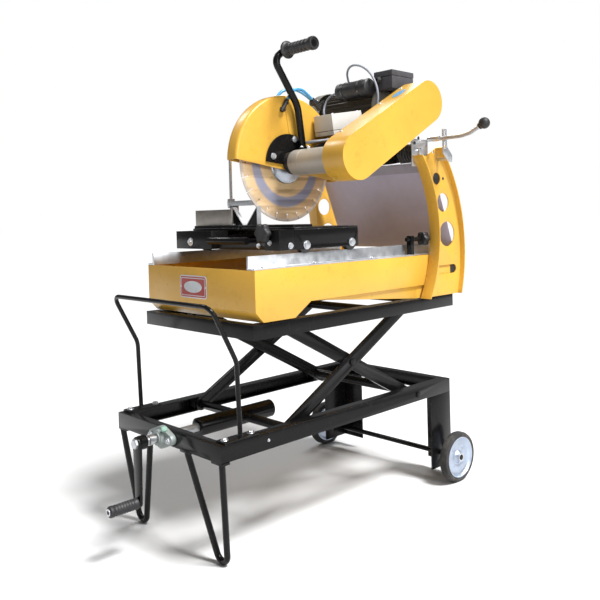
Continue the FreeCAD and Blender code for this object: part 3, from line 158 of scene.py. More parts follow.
YELLOW = (0.69, 0.385, 0.052)
EDGE_OF = {"yellow_paint": "yellow_edge", "black_paint": "black_edge"}
painted("yellow_paint", YELLOW, 0.30, dirty=0.22)
painted("yellow_edge", shade(YELLOW, 0.9), 0.42, dirty=0.6, chips=0.10)
painted("black_paint", (0.006, 0.0058, 0.0062), 0.20, (0.08, 0.068, 0.055), 0.10, shine=0.2)
painted("black_edge", (0.02, 0.02, 0.021), 0.32, (0.14, 0.13, 0.12), 0.4, chips=0.10,
    chip_colour=(0.24, 0.23, 0.22), shine=0.4)
painted("grey_housing", (0.46, 0.43, 0.38), 0.40, (0.16, 0.13, 0.10), 0.4, chips=0.02, metallic=0.25)
painted("motor_grey", (0.21, 0.20, 0.17), 0.42, dirty=0.3, metallic=0.2)
painted("motor_black", (0.062, 0.050, 0.034), 0.36, (0.12, 0.10, 0.08), shine=0.4)
painted("bearing_grey", (0.30, 0.34, 0.33), 0.45, (0.10, 0.09, 0.07), 0.4, metallic=0.3)
painted("spring_steel", (0.018, 0.018, 0.02), 0.35, dirty=0.3)
painted("plate_print", (0.40, 0.036, 0.03), 0.3, dirty=0.2)
painted("lever_steel", (0.44, 0.44, 0.45), 0.24, dirty=0.15, metallic=0.45)
metal("zinc_steel", (0.70, 0.72, 0.75), 0.36)
metal("bare_steel", (0.54, 0.53, 0.51), 0.42, 0.45)
metal("flange_steel", (0.62, 0.67, 0.76), 0.28, 0.2)
metal("blade_rim", (0.86, 0.76, 0.66), 0.5, 0.35, 0.6)
metal("wheel_zinc", (0.55, 0.62, 0.74), 0.4, 0.25)
metal("chrome", (0.80, 0.80, 0.82), 0.16, 0.15, 0.04)
metal("screw_steel", (0.62, 0.63, 0.65), 0.3, 0.35)
metal("cart_steel", (0.36, 0.33, 0.30), 0.38)
plastic("black_plastic", (0.018, 0.018, 0.02), 0.42)
plastic("grip_black", (0.016, 0.016, 0.018), 0.5)
plastic("grey_plastic", (0.66, 0.65, 0.62), 0.42, 0.06, dusty=0.1)
plastic("screen_sheet", (0.58, 0.56, 0.72), 0.5, 0.07, dusty=0.1)
plastic("screen_strip", (0.40, 0.39, 0.48), 0.4, 0.1)
plastic("wheel_tyre", (0.028, 0.027, 0.027), 0.75, dusty=0.3)
plastic("hose_blue", (0.075, 0.34, 0.68), 0.2, 0.1, 0.02)
plastic("cable_grey", (0.27, 0.285, 0.33), 0.45)
plastic("belt_rubber", (0.02, 0.02, 0.02), 0.7)
plastic("label_blue", (0.12, 0.31, 0.52), 0.35, grain=0.02)
plastic("label_white", (0.62, 0.64, 0.66), 0.35, grain=0.02)
plastic("cap_mint", (0.27, 0.47, 0.38), 0.45)
plastic("box_grey", (0.052, 0.052, 0.062), 0.55, grain=0.3)


# ---- shapes
def smooth(piece, angle=35):
    mesh = piece.data
    bm = bmesh.new()
    bm.from_mesh(mesh)
    for face in bm.faces:
        face.smooth = True
    limit = math.radians(angle)
    for edge in bm.edges:
        edge.smooth = not (len(edge.link_faces) == 2 and edge.calc_face_angle() > limit)
    bm.to_mesh(mesh)
    bm.free()


def apply(piece):
    """Replace the piece's mesh with its evaluated one."""
    depsgraph = bpy.context.evaluated_depsgraph_get()
    mesh = bpy.data.meshes.new_from_object(piece.evaluated_get(depsgraph))
    piece.modifiers.clear()
    piece.data = mesh


def bevelled(piece, width, segments=2, angle=32, worn=False):
    """Round the piece's edges; worn edges take its second material."""
    modifier = piece.modifiers.new("Bevel", "BEVEL")
    modifier.width = width / 1000
    modifier.segments = segments
    modifier.limit_method = "ANGLE"
    modifier.angle_limit = math.radians(angle)
    modifier.use_clamp_overlap = True
    if worn:
        modifier.material = 1
    apply(piece)


def put(piece, body, slot, *replaced):
    """Give a finished piece its body and hide the CAD nodes that it stands for. The slot is not used."""
    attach(piece, body)
    if replaced:
        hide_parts(*replaced)
    return piece


def new_piece(name, mesh, *materials):
    piece = bpy.data.objects.new(name, mesh)
    bpy.context.scene.collection.objects.link(piece)
    for material in materials:
        piece.data.materials.append(MATERIALS[material])
    return piece


# parts of a node in another finish: finish and the box, in mm, that holds their faces
REFINISHED = {
    "cart_rails": [("black_paint", (228.5, 729.5, 727), (247.5, 744.5, 784))],
    "cart_frame": [("zinc_steel", (233.3, 290, 760), (242, 495, 795)),
                   ("zinc_steel", (-242, 290, 760), (-233.3, 495, 795))],
}


def refinish(piece, slot, low, high):
    piece.data.materials.append(MATERIALS[slot])
    last = len(piece.data.materials) - 1
    for face in piece.data.polygons:
        if all(a <= c <= b for a, c, b in zip(P(*low), face.center, P(*high))):
            face.material_index = last


def from_cad(node):
    """A node's own shape, with its flat faces made whole and its edges rounded and worn."""
    slot = SLOT_OF[node]
    mesh = NODES[node].data.copy()
    mesh.materials.clear()
    bm = bmesh.new()
    bm.from_mesh(mesh)
    bmesh.ops.remove_doubles(bm, verts=bm.verts, dist=2e-6)
    bmesh.ops.dissolve_limit(bm, angle_limit=math.radians(0.6), verts=bm.verts, edges=bm.edges)
    for face in bm.faces:
        face.smooth = True
        face.material_index = 0
    bm.to_mesh(mesh)
    bm.free()
    piece = new_piece(node + "_skin", mesh, slot, *([EDGE_OF[slot]] if slot in EDGE_OF else []))
    bevelled(piece, 1.0, worn=slot in EDGE_OF)
    for finish, low, high in REFINISHED.get(node, ()):
        refinish(piece, finish, low, high)
    smooth(piece)
    put(piece, BODY_OF[node], slot, node)


# ---- mesh kit, in mm from the datum
AXES = {"X": (1, 0, 0), "Y": (0, 1, 0), "Z": (0, 0, 1),
        "-X": (-1, 0, 0), "-Y": (0, -1, 0), "-Z": (0, 0, -1)}


def direction(axis):
    """Unit vector along an axis, given by its name or as a vector."""
    return Vector(AXES[axis] if isinstance(axis, str) else axis).normalized()


def around(axis):
    """An axis and two directions across it."""
    axis = direction(axis)
    side = Vector((0, 0, 1)) if abs(axis.z) < 0.9 else Vector((0, 1, 0))
    first = axis.cross(side).normalized()
    return axis, first, axis.cross(first)


def ring(bm, centre, first, second, count, radius):
    """Corners round a centre; radius is a number or a function of the angle."""
    corners = []
    for k in range(count):
        a = 2 * math.pi * k / count
        size = radius(a) if callable(radius) else radius
        corners.append(bm.verts.new(centre + (first * math.cos(a) + second * math.sin(a)) * size))
    return corners


def skin(bm, rings, mat=0, closed=True):
    """Faces from each ring of corners to the next; a ring of one corner is a tip."""
    for low, high in zip(rings, rings[1:]):
        count = max(len(low), len(high))
        for k in range(count if closed else count - 1):
            n = (k + 1) % count
            corners = dict.fromkeys((low[k % len(low)], low[n % len(low)],
                                     high[n % len(high)], high[k % len(high)]))
            if len(corners) > 2:
                bm.faces.new(list(corners)).material_index = mat


def cap(bm, rings, mat=0):
    """Close both ends of a row of rings."""
    bm.faces.new(list(reversed(rings[0]))).material_index = mat
    bm.faces.new(rings[-1]).material_index = mat


def lathe(bm, origin, axis, profile, segments=48, mat=0):
    """Turn (along, radius) points about an axis. Radius 0 closes an end."""
    axis, first, second = around(axis)
    rings = []
    for along, radius in profile:
        centre = Vector(origin) + axis * along
        rings.append(ring(bm, centre, first, second, segments, radius) if radius else
            [bm.verts.new(centre)])
    skin(bm, rings, mat)


def cylinder(bm, start, end, radius, mat=0, edge=0.6, segments=32):
    """Round bar between two points, its ends chamfered."""
    start, end = Vector(start), Vector(end)
    length = (end - start).length
    edge = min(edge, radius * 0.4, length * 0.3)
    lathe(bm, start, end - start, [(0, 0), (0, radius - edge), (edge, radius), (length - edge, radius),
        (length, radius - edge), (length, 0)], segments, mat)


def hexagon(bm, origin, axis, size, height, mat=0):
    """Hexagon head or nut, its outer corners turned down."""
    lathe(bm, origin, axis, [(0, 0), (0, size), (height * 0.8, size), (height, size * 0.87), (height, 0)],
        6, mat)


def bolt(bm, origin, axis, size, mat=0, nut=False):
    """Washer and hexagon head, or nut with the bolt's end through it."""
    lathe(bm, origin, axis, [(0, 0), (0, size * 1.15), (size * 0.14, size * 1.22),
        (size * 0.22, size * 1.15), (size * 0.22, 0)], 28, mat)
    axis = direction(axis)
    head = Vector(origin) + axis * size * 0.2
    hexagon(bm, head, axis, size, size * 0.62, mat)
    if nut:
        cylinder(bm, head, head + axis * size * 0.95, size * 0.52, mat, 0.5, 20)


def cap_screw(bm, origin, axis, size, mat=0):
    """Low domed screw head with a recess."""
    lathe(bm, origin, axis, [(0, size), (size * 0.25, size), (size * 0.5, size * 0.8),
        (size * 0.6, size * 0.5), (size * 0.6, size * 0.36), (size * 0.3, size * 0.3), (size * 0.3, 0)],
        20, mat)


def cuboid(bm, low, high, mat=0):
    """Box from corner to corner."""
    corners = [bm.verts.new((x, y, z)) for x in (low[0], high[0]) for y in (low[1], high[1])
               for z in (low[2], high[2])]
    for face in ((0, 1, 3, 2), (4, 6, 7, 5), (0, 4, 5, 1), (2, 3, 7, 6), (0, 2, 6, 4), (1, 5, 7, 3)):
        bm.faces.new([corners[i] for i in face]).material_index = mat
    return corners


def prism(bm, outline, axis, low, high, mat=0):
    """Straight prism on a flat outline; (u, v) are the two other axes in order."""
    places = {"X": lambda u, v, w: (w, u, v), "Y": lambda u, v, w: (u, w, v)}[axis]
    rings = [[bm.verts.new(places(u, v, w)) for u, v in outline] for w in (low, high)]
    cap(bm, rings, mat)
    skin(bm, rings, mat)
    return rings


def rounded(points, radii, steps=8):
    """Polyline with its inner corners rounded by arcs of the given radii."""
    points = [Vector(p) for p in points]
    out = [points[0]]
    for before, corner, after, radius in zip(points, points[1:], points[2:], radii):
        first = (before - corner).normalized()
        second = (after - corner).normalized()
        half = first.angle(second) / 2
        reach = radius / math.tan(half)
        centre = corner + (first + second).normalized() * radius / math.sin(half)
        start = corner + first * reach - centre
        end = corner + second * reach - centre
        turn = start.angle(end)
        for step in range(steps + 1):
            share = step / steps
            out.append(centre + (start * math.sin((1 - share) * turn) + end * math.sin(share * turn)) /
                math.sin(turn))
    out.append(points[-1])
    return out


def sweep(bm, points, radius, segments=20):
    """Round bar along a line of points."""
    points = [Vector(p) for p in points]
    tangents = [(after - before).normalized()
                for before, after in zip(points[:1] + points, points[1:] + points[-1:])]
    normal = around(tangents[0])[1]
    rings = []
    for point, tangent in zip(points, tangents):
        normal = (normal - tangent * normal.dot(tangent)).normalized()
        rings.append(ring(bm, point, normal, tangent.cross(normal), segments, radius))
    skin(bm, rings)
    cap(bm, rings)


def finished(name, bm, body, slot, materials=None, *replaced, bevel=0, segments=2, angle=32, solid=0,
        sharp=38):
    """Make a piece of a mesh drawn in mm from the datum."""
    bmesh.ops.recalc_face_normals(bm, faces=bm.faces)
    mesh = bpy.data.meshes.new(name)
    for vertex in bm.verts:
        vertex.co = P(*vertex.co)
    bm.to_mesh(mesh)
    bm.free()
    piece = new_piece(name, mesh, *(materials or [slot]))
    if solid:
        modifier = piece.modifiers.new("Sheet", "SOLIDIFY")
        modifier.thickness = solid / 1000
        modifier.offset = -1
        modifier.use_even_offset = True
        apply(piece)
    if bevel:
        bevelled(piece, bevel, segments, angle)
    smooth(piece, sharp)
    put(piece, body, slot, *replaced)


def flat_plate(outline, holes, axis, low, high, bevel):
    """Plate with holes, its edges rounded, as a mesh drawn in mm from the datum."""
    curve = bpy.data.curves.new("outline", "CURVE")
    curve.dimensions = "2D"
    curve.fill_mode = "BOTH"
    curve.extrude = (high - low) / 2 - bevel
    curve.bevel_depth = bevel
    curve.bevel_resolution = 1
    curve.offset = -bevel
    for loop in [outline] + holes:
        spline = curve.splines.new("POLY")
        spline.points.add(len(loop) - 1)
        for point, (u, v) in zip(spline.points, loop):
            point.co = (u, v, 0, 1)
        spline.use_cyclic_u = True
    holder = bpy.data.objects.new("outline", curve)
    bpy.context.scene.collection.objects.link(holder)
    depsgraph = bpy.context.evaluated_depsgraph_get()
    mesh = bpy.data.meshes.new_from_object(holder.evaluated_get(depsgraph))
    bpy.data.objects.remove(holder)
    bm = bmesh.new()
    bm.from_mesh(mesh)
    bmesh.ops.remove_doubles(bm, verts=bm.verts, dist=0.01)
    middle = (low + high) / 2
    for vertex in bm.verts:
        u, v, w = vertex.co
        vertex.co = {"X": (middle + w, u, v), "Y": (u, middle - w, v)}[axis]
    return bm


def arc(u, v, radius, first, last, steps):
    """Points round (u, v) from the first angle to the last, in degrees."""
    angles = [math.radians(first + (last - first) * step / steps) for step in range(steps + 1)]
    return [(u + radius * math.cos(a), v + radius * math.sin(a)) for a in angles]


def circle(u, v, radius, count=40):
    return arc(u, v, radius, 0, 360, count)[:-1]


# ---- camera, light, floor
def make_camera():
    azimuth, pitch, roll = (math.radians(a) for a in (44.6, -0.9, -1.5))
    forward = Vector((-math.sin(azimuth) * math.cos(pitch), math.cos(azimuth) * math.cos(pitch),
        math.sin(pitch)))
    right = Vector((math.cos(azimuth), math.sin(azimuth), 0))
    up = right.cross(forward)
    across = right * math.cos(roll) + up * math.sin(roll)
    upward = up * math.cos(roll) - right * math.sin(roll)
    data = bpy.data.cameras.new("camera")
    data.sensor_width = 36
    data.lens = 43.34
    data.shift_x = -0.0617
    data.shift_y = -0.1225
    camera = bpy.data.objects.new("camera", data)
    bpy.context.scene.collection.objects.link(camera)
    rows = Matrix((across, upward, -forward)).transposed().to_4x4()
    camera.matrix_world = Matrix.Translation(P(1642.8, -1008.2, 853.9)) @ rows
    bpy.context.scene.camera = camera


def area_light(name, place, target, size, power):
    data = bpy.data.lights.new(name, "AREA")
    data.shape = "DISK"
    data.size = size
    data.energy = power
    lamp = bpy.data.objects.new(name, data)
    bpy.context.scene.collection.objects.link(lamp)
    lamp.location = place
    lamp.rotation_euler = (Vector(target) - Vector(place)).to_track_quat("-Z", "Y").to_euler()


def make_studio():
    """White room: even pale floor, a soft key from the operator's right, weak fill in front."""
    bpy.context.scene.view_settings.view_transform = "Standard"
    world = bpy.data.worlds.new("studio")
    bpy.context.scene.world = world
    world.use_nodes = True
    tree = world.node_tree
    sky = tree.nodes["Background"]
    sky.inputs["Color"].default_value = (0.97, 0.985, 1.0, 1.0)
    sky.inputs["Strength"].default_value = 0.19
    seen = add(tree, "Background", Color=(1.0, 1.0, 1.0, 1.0), Strength=1.0)
    choose = add(tree, "MixShader")
    tree.links.new(add(tree, "LightPath").outputs["Is Camera Ray"], choose.inputs[0])
    tree.links.new(sky.outputs[0], choose.inputs[1])
    tree.links.new(seen.outputs[0], choose.inputs[2])
    tree.links.new(choose.outputs[0], tree.nodes["World Output"].inputs["Surface"])
    lamp = bpy.data.lights.new("key", "SUN")
    lamp.energy = 5.7
    lamp.angle = math.radians(16)
    key = bpy.data.objects.new("key", lamp)
    bpy.context.scene.collection.objects.link(key)
    towards = Vector((-0.52, -0.10, -0.85))
    key.rotation_euler = towards.to_track_quat("-Z", "Y").to_euler()
    area_light("strip", (2.8, -0.2, 1.7), (0, 0, 0.8), 1.2, 26)
    area_light("overhead", (-2.0, -0.2, 2.8), (0, 0, 0.7), 0.5, 12)
    area_light("rim", (-1.2, 1.8, 2.6), (0, 0, 1.0), 1.4, 30)
    mesh = bpy.data.meshes.new("floor")
    reach = 60
    mesh.from_pydata([(-reach, -reach, 0), (reach, -reach, 0), (reach, reach, 0), (-reach, reach, 0)], [],
        [(0, 1, 2, 3)])
    floor = bpy.data.objects.new("floor", mesh)
    bpy.context.scene.collection.objects.link(floor)
    tree, bsdf = shader("floor")
    tone = ramp(tree, noise(tree, 1.5, 3), [(0.3, 0.64), (0.7, 0.66)])
    tree.links.new(tone, bsdf.inputs["Base Color"])
    bsdf.inputs["Roughness"].default_value = 0.9
    bsdf.inputs["Specular IOR Level"].default_value = 0.1
    mesh.materials.append(MATERIALS["floor"])


# ---- saw blade and its guards
ARBOR = (444.0, 1013.0)
MOTOR = (765.0, 1193.0)


def blade_material():
    """Blade tint by radius: tan rim, blued ring, tan core, with a fine turned grain."""
    tree, bsdf = shader("blade_tint")

    def vector_math(operation, source, *other):
        node = add(tree, "VectorMath")
        node.operation = operation
        for value in other:
            node.inputs[1].default_value = value
        tree.links.new(source, node.inputs[0])
        return node

    offset = vector_math("SUBTRACT", add(tree, "TexCoord").outputs["Object"], P(0, *ARBOR))
    flat = vector_math("MULTIPLY", offset.outputs[0], (0, 1, 1))
    length = vector_math("LENGTH", flat.outputs[0])
    scaled = add(tree, "Math")
    scaled.operation = "MULTIPLY"
    scaled.inputs[1].default_value = 1 / 0.18
    tree.links.new(length.outputs["Value"], scaled.inputs[0])
    tan, blue = (0.80, 0.56, 0.30), (0.33, 0.34, 0.46)
    bands = ramp(tree, scaled.outputs[0], [(0.33, (0.62, 0.45, 0.24)), (0.54, tan), (0.575, blue),
        (0.71, blue), (0.75, tan), (0.90, (0.86, 0.62, 0.38)), (0.93, (0.70, 0.56, 0.42))])
    stain = ramp(tree, noise(tree, 34, 8, 0.7), [(0.45, 0.0), (0.78, 0.45)])
    tree.links.new(mix(tree, stain, bands, (0.50, 0.38, 0.25)), bsdf.inputs["Base Color"])
    bsdf.inputs["Metallic"].default_value = 0.55
    gloss = ramp(tree, noise(tree, 30, 6, 0.6), [(0.3, 0.30), (0.7, 0.52)])
    tree.links.new(gloss, bsdf.inputs["Roughness"])
    grain = add(tree, "TexNoise", Scale=900)
    grain.noise_dimensions = "1D"
    tree.links.new(length.outputs["Value"], grain.inputs["W"])
    bump(tree, bsdf, grain.outputs["Fac"], 0.12, 0.0004)


def make_blade():
    """Slotted core with diamond segments a little proud of it, and the two flanges."""
    blade_material()
    cy, cz = ARBOR
    rim, eye, half, pitch = 174.5, 153.0, 1.2, 15
    gap = math.degrees(half / rim)
    outline = []
    for angle in range(90, 450, pitch):
        radial = Vector((math.cos(math.radians(angle)), math.sin(math.radians(angle))))
        across = Vector((-radial.y, radial.x))
        # down one side of the slot, round the eye of the keyhole, out again and along the rim
        keyhole = [(rim, -half), (eye + 2.7, -half), *arc(eye, 0, 3, 300, 60, 6), (eye + 2.7, half),
            (rim, half)]
        outline += [Vector(ARBOR) + radial * along + across * side for along, side in keyhole]
        outline += arc(cy, cz, rim, angle + gap, angle + pitch - gap, 7)[1:-1]
    core = flat_plate(outline, [circle(cy, cz, 15.1)], "X", -1.1, 1.1, 0.25)
    for angle in range(90, 450, pitch):
        rows = [arc(cy, cz, r, angle + gap, angle + pitch - gap, 8) for r in (166.0, 174.6)]
        rings = [[core.verts.new((x, *point)) for x, point in
                  ((-1.6, inner), (1.6, inner), (1.6, outer), (-1.6, outer))]
                 for inner, outer in zip(*rows)]
        skin(core, rings, 1)
        cap(core, rings, 1)
    finished("saw_blade_disc", core, "arbor", "blade_steel", ["blade_tint", "blade_rim"], "saw_blade",
        sharp=30)
    bm = bmesh.new()
    for sign in (1, -1):
        lathe(bm, (sign * 1.3, cy, cz), (sign, 0, 0), [(0, 15.2), (0, 61), (2.2, 61), (4, 59), (4.6, 46),
            (8, 40), (8, 15.2)], 72)
    lathe(bm, (-9.4, cy, cz), "-X", [(0, 15), (0, 26), (2.5, 26), (2.5, 15)], 40)
    hexagon(bm, (-12, cy, cz), "-X", 21, 9.4)
    finished("blade_flange_pair", bm, "arbor", "bare_steel", ["flange_steel"], "blade_flanges")


def make_hood():
    """Blade guard: a half drum of sheet with one rounded shoulder, and its black bracket."""
    cy, cz = ARBOR
    bm = bmesh.new()
    profile = [(0, 18.5), (0, 196), (1.2, 200.5), (4, 203), (8, 204), (39, 204), (42, 203.4),
        (44.6, 201.8), (46.2, 199.6), (47, 196.5), (47, 18.5)]
    lathe(bm, (-25, cy, cz), "X", profile, 144)
    lean = math.radians(-8.4)
    normal = Vector((0, -math.sin(lean), math.cos(lean)))
    point = Vector((0, 224, 1022))
    bmesh.ops.bisect_plane(bm, geom=bm.verts[:] + bm.edges[:] + bm.faces[:], plane_co=point,
        plane_no=-normal, clear_outer=True)
    finished("blade_guard_shell", bm, "head", "yellow_paint", ["yellow_paint", "yellow_edge"],
        "blade_guard", solid=2.4, bevel=0.5, segments=2, angle=60)
    # second sheet lapped on the rear half of the right face
    outline = arc(cy, cz, 186, 96, 10.8, 24) + [(cy + 186, cz - 20), (cy + 60, cz + 2), (cy - 4, cz + 92)]
    plate = flat_plate(outline, [], "X", 22.1, 23.6, 0.4)
    finished("blade_guard_overlay", plate, "head", "yellow_paint", sharp=30)
    # bracket: a disc with its lower half cut off and a notch round the arbor
    outline = arc(cy - 10, cz - 1, 88, 178, 2, 40) + arc(cy, cz, 34.5, -6, 186, 24)
    plate = flat_plate(outline, [], "X", 23.7, 28, 0.7)
    for y, z in ((cy - 72, cz + 18), (cy + 14, cz + 72)):
        bolt(plate, (28, y, z), "X", 8, 2)
    finished("hood_bracket_plate", plate, "head", "black_paint", ["black_paint", "black_edge",
        "zinc_steel"], "hood_bracket", sharp=30)


def stadium(low_radius, high_radius, steps=28):
    """Outline round both pulley axes, as (y, z) points."""
    low, high = Vector(ARBOR), Vector(MOTOR)
    along = (high - low).normalized()
    start = math.degrees(math.atan2(along.y, along.x))
    lean = math.degrees(math.asin((low_radius - high_radius) / (high - low).length))
    return (arc(*high, high_radius, start - 90 + lean, start + 90 - lean, steps)
            + arc(*low, low_radius, start + 90 - lean, start + 270 + lean, steps))


def make_belt_guard():
    """Closed guard over both pulleys, with rounded rims."""
    bm = bmesh.new()
    first, second = prism(bm, stadium(64.9, 62.9), "X", 223, 304)
    for edges, width in ((second, 5.0), (first, 1.6)):
        loop = [e for e in bm.edges if all(v in set(edges) for v in e.verts)]
        bmesh.ops.bevel(bm, geom=loop, offset=width, segments=4, profile=0.5, affect="EDGES",
            clamp_overlap=True)
    finished("belt_guard_shell", bm, "head", "yellow_paint", ["yellow_paint"], "belt_guard", sharp=45)
    # screws and label on top
    low, high = Vector(ARBOR), Vector(MOTOR)
    along = (high - low).normalized()
    up = Vector((-along.y, along.x))
    bm = bmesh.new()
    for share, x in ((0.10, 236), (0.62, 236), (0.93, 236)):
        place = low + (high - low) * share + up * (64.6 - 2 * share)
        cap_screw(bm, (x, place.x, place.y), (0, up.x, up.y), 4.6)
    finished("belt_guard_screws", bm, "head", "yellow_paint", ["zinc_steel"])
    bm = bmesh.new()
    centre = low + (high - low) * 0.80 + up * 63.45
    disc = []
    for step in range(36):
        a = 2 * math.pi * step / 36
        disc.append((262 + 15 * math.cos(a), 30 * math.sin(a)))
    bm.faces.new([bm.verts.new((x, centre.x + along.x * t + up.x * 0.25,
                                centre.y + along.y * t + up.y * 0.25)) for x, t in disc])
    inset = bmesh.ops.inset_region(bm, faces=bm.faces[:], thickness=3.2)
    for face in inset["faces"]:
        face.material_index = 1
    finished("belt_guard_label", bm, "head", "yellow_paint", ["label_blue", "label_white"], solid=0.3)


# ---- drive and motor
def make_motor():
    """Motor, fan cowl, run capacitor and terminal box."""
    cy, cz = MOTOR
    bm = bmesh.new()
    # finned body
    lathe(bm, (-118, cy, cz), "X", [(0, 0), (0, 60), (1, 61), (249, 61), (250, 60), (250, 0)], 72, 0)
    section = ((60, -1.7), (66.4, -1.1), (67.9, -0.6), (67.9, 0.6), (66.4, 1.1), (60, 1.7))
    for degrees in range(0, 360, 12):
        if abs(degrees - 270) < 25:
            continue
        angle = math.radians(degrees)
        radial = Vector((0, math.cos(angle), math.sin(angle)))
        across = Vector((0, -math.sin(angle), math.cos(angle)))
        rings = [[bm.verts.new(Vector((x, cy, cz)) + radial * (r - (drop if r > 61 else 0))
                               + across * t) for r, t in section]
                 for x, drop in ((-110, 2.5), (-106, 0), (122, 0), (126, 2.5))]
        skin(bm, rings, closed=False)
        cap(bm, rings)
    # end bell with its bolts
    lathe(bm, (126, cy, cz), "X", [(0, 60), (0, 67.5), (5, 68), (9, 66), (14, 60), (30, 49), (38, 44),
        (39, 30), (39, 13)], 72, 1)
    for place in arc(cy, cz, 60, 45, 315, 3):
        bolt(bm, (135, *place), "X", 4.5, 2)
    finished("motor_body_finned", bm, "head", "black_paint", ["motor_black", "motor_grey", "zinc_steel"],
        "motor_body")
    # fan cowl, pressed, with rings of air holes in its end, drawn as thin black discs that paint the
    # shade inside the cowl
    bm = bmesh.new()
    lathe(bm, (-175, cy, cz), "X", [(2.4, 15), (0.4, 15), (0, 20), (0, 52), (2, 60), (7, 69), (14, 75),
        (24, 78.4), (36, 79), (56, 79), (58, 78.4), (58, 76.8), (56, 76.6), (36, 76.6), (24, 76),
        (15, 72.6), (9, 67), (4.4, 59), (2.4, 52), (2.4, 15)], 84, 0)
    # air holes: black discs on the end, painted shade of the holes
    for radius in (24, 33, 42, 51):
        count = int(radius / 2.4)
        for index, place in enumerate(circle(cy, cz, radius, count)):
            if index % (count // 4):
                cylinder(bm, (-175.6, *place), (-174.9, *place), 3.1, 1, 0.1, 12)
    for angle in (40, 140, 220, 320):
        a = math.radians(angle)
        radial = Vector((0, math.cos(a), math.sin(a)))
        cap_screw(bm, Vector((-126, cy, cz)) + radial * 78.6, radial, 4.2, 2)
    finished("fan_cowl_shell", bm, "head", "motor_grey", ["motor_grey", "black_plastic", "zinc_steel"],
        "fan_cowl")
    # run capacitor with end caps and straps
    bm = bmesh.new()
    y, z = 690, 1253
    lathe(bm, (-3, y, z), "X", [(0, 0), (0, 22), (1.5, 25.5), (4, 27.6), (11, 27.9), (12, 26.6),
        (14, 26.6), (15, 27.4), (118, 27.4), (119, 26.8), (122, 26.8), (123, 27.9), (131, 27.7),
        (134, 25), (135, 20), (135, 0)], 56, 0)
    for x in (22, 92):
        lathe(bm, (x, y, z), "X", [(0, 27.4), (0, 28.6), (9, 28.6), (9, 27.4)], 56, 1)
    finished("capacitor_can", bm, "head", "black_plastic", ["black_plastic", "black_edge"], "capacitor")
    # terminal box: base, cover, screws and gland
    bm = bmesh.new()
    cuboid(bm, (133, 708, 1242.4), (205, 812, 1281), 2)
    cuboid(bm, (131.8, 706.8, 1282.2), (206, 813, 1299), 2)
    for x in (139, 198):
        for yy in (714, 806):
            cap_screw(bm, (x, yy, 1299), "Z", 4, 1)
    lathe(bm, (153, 708, 1272), "-Y", [(0, 12.5), (5, 12.5), (5, 10.5), (12, 10.5), (14, 8), (14, 4)], 6,
        0)
    finished("terminal_box_case", bm, "head", "black_plastic", ["black_plastic", "zinc_steel",
        "box_grey"], "terminal_box", bevel=2.2, segments=3, angle=60, sharp=35)


def make_housing():
    """Arbor housing between the belt guard and the blade guard, and its seal."""
    cy, cz = ARBOR
    bm = bmesh.new()
    lathe(bm, (44, cy, cz), "X", [(0, 15.2), (0, 31), (1.5, 34.5), (4, 37), (8, 38), (44, 38), (45, 37.2),
        (46.5, 37.2), (47.5, 38), (158, 38), (159, 37), (161, 37), (162, 38), (177, 38), (178, 37),
        (178, 15.2)], 72, 0)
    lathe(bm, (24.5, cy, cz), "X", [(0, 15.2), (0, 31), (2, 33), (8, 33), (8.5, 31.4), (10.5, 31.4),
        (11, 33), (17, 33), (19.2, 31), (19.2, 15.2)], 64, 1)
    # grease nipple
    lathe(bm, (112, cy - 10, cz + 35.5), (0, -0.27, 0.96), [(0, 5), (3, 5), (3, 3.4), (6, 3.4),
        (6.5, 2.4), (9, 3), (10.5, 1.6), (10.5, 0)], 12, 2)
    finished("arbor_housing_tube", bm, "head", "grey_housing", ["grey_housing", "black_plastic",
        "zinc_steel"], "arbor_housing")


# ---- feed handle, hoses, cables
def make_handle():
    """Bent tube with a foot on the bracket, and a moulded grip across its top."""
    route = [(43, 476, 1063), (43, 459, 1184), (43, 372, 1311), (43, 409, 1341), (174, 409, 1341)]
    bm = bmesh.new()
    sweep(bm, rounded(route, (80, 26, 16), 12), 10.5, 28)
    foot = [(464, 1054), (492, 1054), (488, 1062), (482, 1080), (466, 1082)]
    prism(bm, foot, "X", 28, 32)
    prism(bm, [(452, 1053), (494, 1053), (494, 1058), (452, 1058)], "X", 28, 62)
    for x, y in ((57, 459), (57, 488)):
        bolt(bm, (x, y, 1058), "Z", 5.2, 2, nut=True)
    # weld round the foot of the tube
    lathe(bm, (43, 476, 1058), (0, -0.14, 0.99), [(0, 14), (2, 13.6), (5, 10.8), (5, 10)], 28)
    finished("feed_handle_tube", bm, "head", "black_paint", ["black_paint", "black_edge", "zinc_steel"],
        "feed_handle", bevel=0.7, angle=50)
    bm = bmesh.new()
    profile = [(0, 10.6), (0, 24), (1.5, 25.6), (4.5, 26), (6.5, 25), (8, 21), (11, 18.2)]
    for index in range(6):
        low = 14 + index * 14.6
        profile += [(low, 17.4), (low + 4, 16.2), (low + 8, 16.2), (low + 12, 17.4)]
    profile += [(104, 17.6), (106, 19.4), (115, 19.6), (118.4, 18), (119, 15.5)]
    lathe(bm, (57, 409, 1341), "X", profile, 56)
    lathe(bm, (57, 409, 1341), "X", [(119, 15.5), (116.4, 14.6), (116.4, 0)], 56, 1)
    finished("handle_grip_rubber", bm, "head", "grip_black", ["grip_black", "black_plastic"],
        "handle_grip")


def cord(name, node, route, diameter, slot):
    """Free hose or cable: a smooth NURBS line over the points of its route."""
    curve = bpy.data.curves.new(name, "CURVE")
    curve.dimensions = "3D"
    spline = curve.splines.new("NURBS")
    spline.points.add(len(route) - 1)
    for point, place in zip(spline.points, route):
        point.co = (*P(*place), 1)
    spline.order_u = 3
    spline.use_endpoint_u = True
    spline.resolution_u = 12
    curve.resolution_u = 12
    curve.bevel_depth = diameter / 2000
    curve.bevel_resolution = 6
    curve.use_fill_caps = True
    piece = bpy.data.objects.new(name, curve)
    bpy.context.scene.collection.objects.link(piece)
    curve.materials.append(MATERIALS[slot])
    put(piece, "head", slot, node)


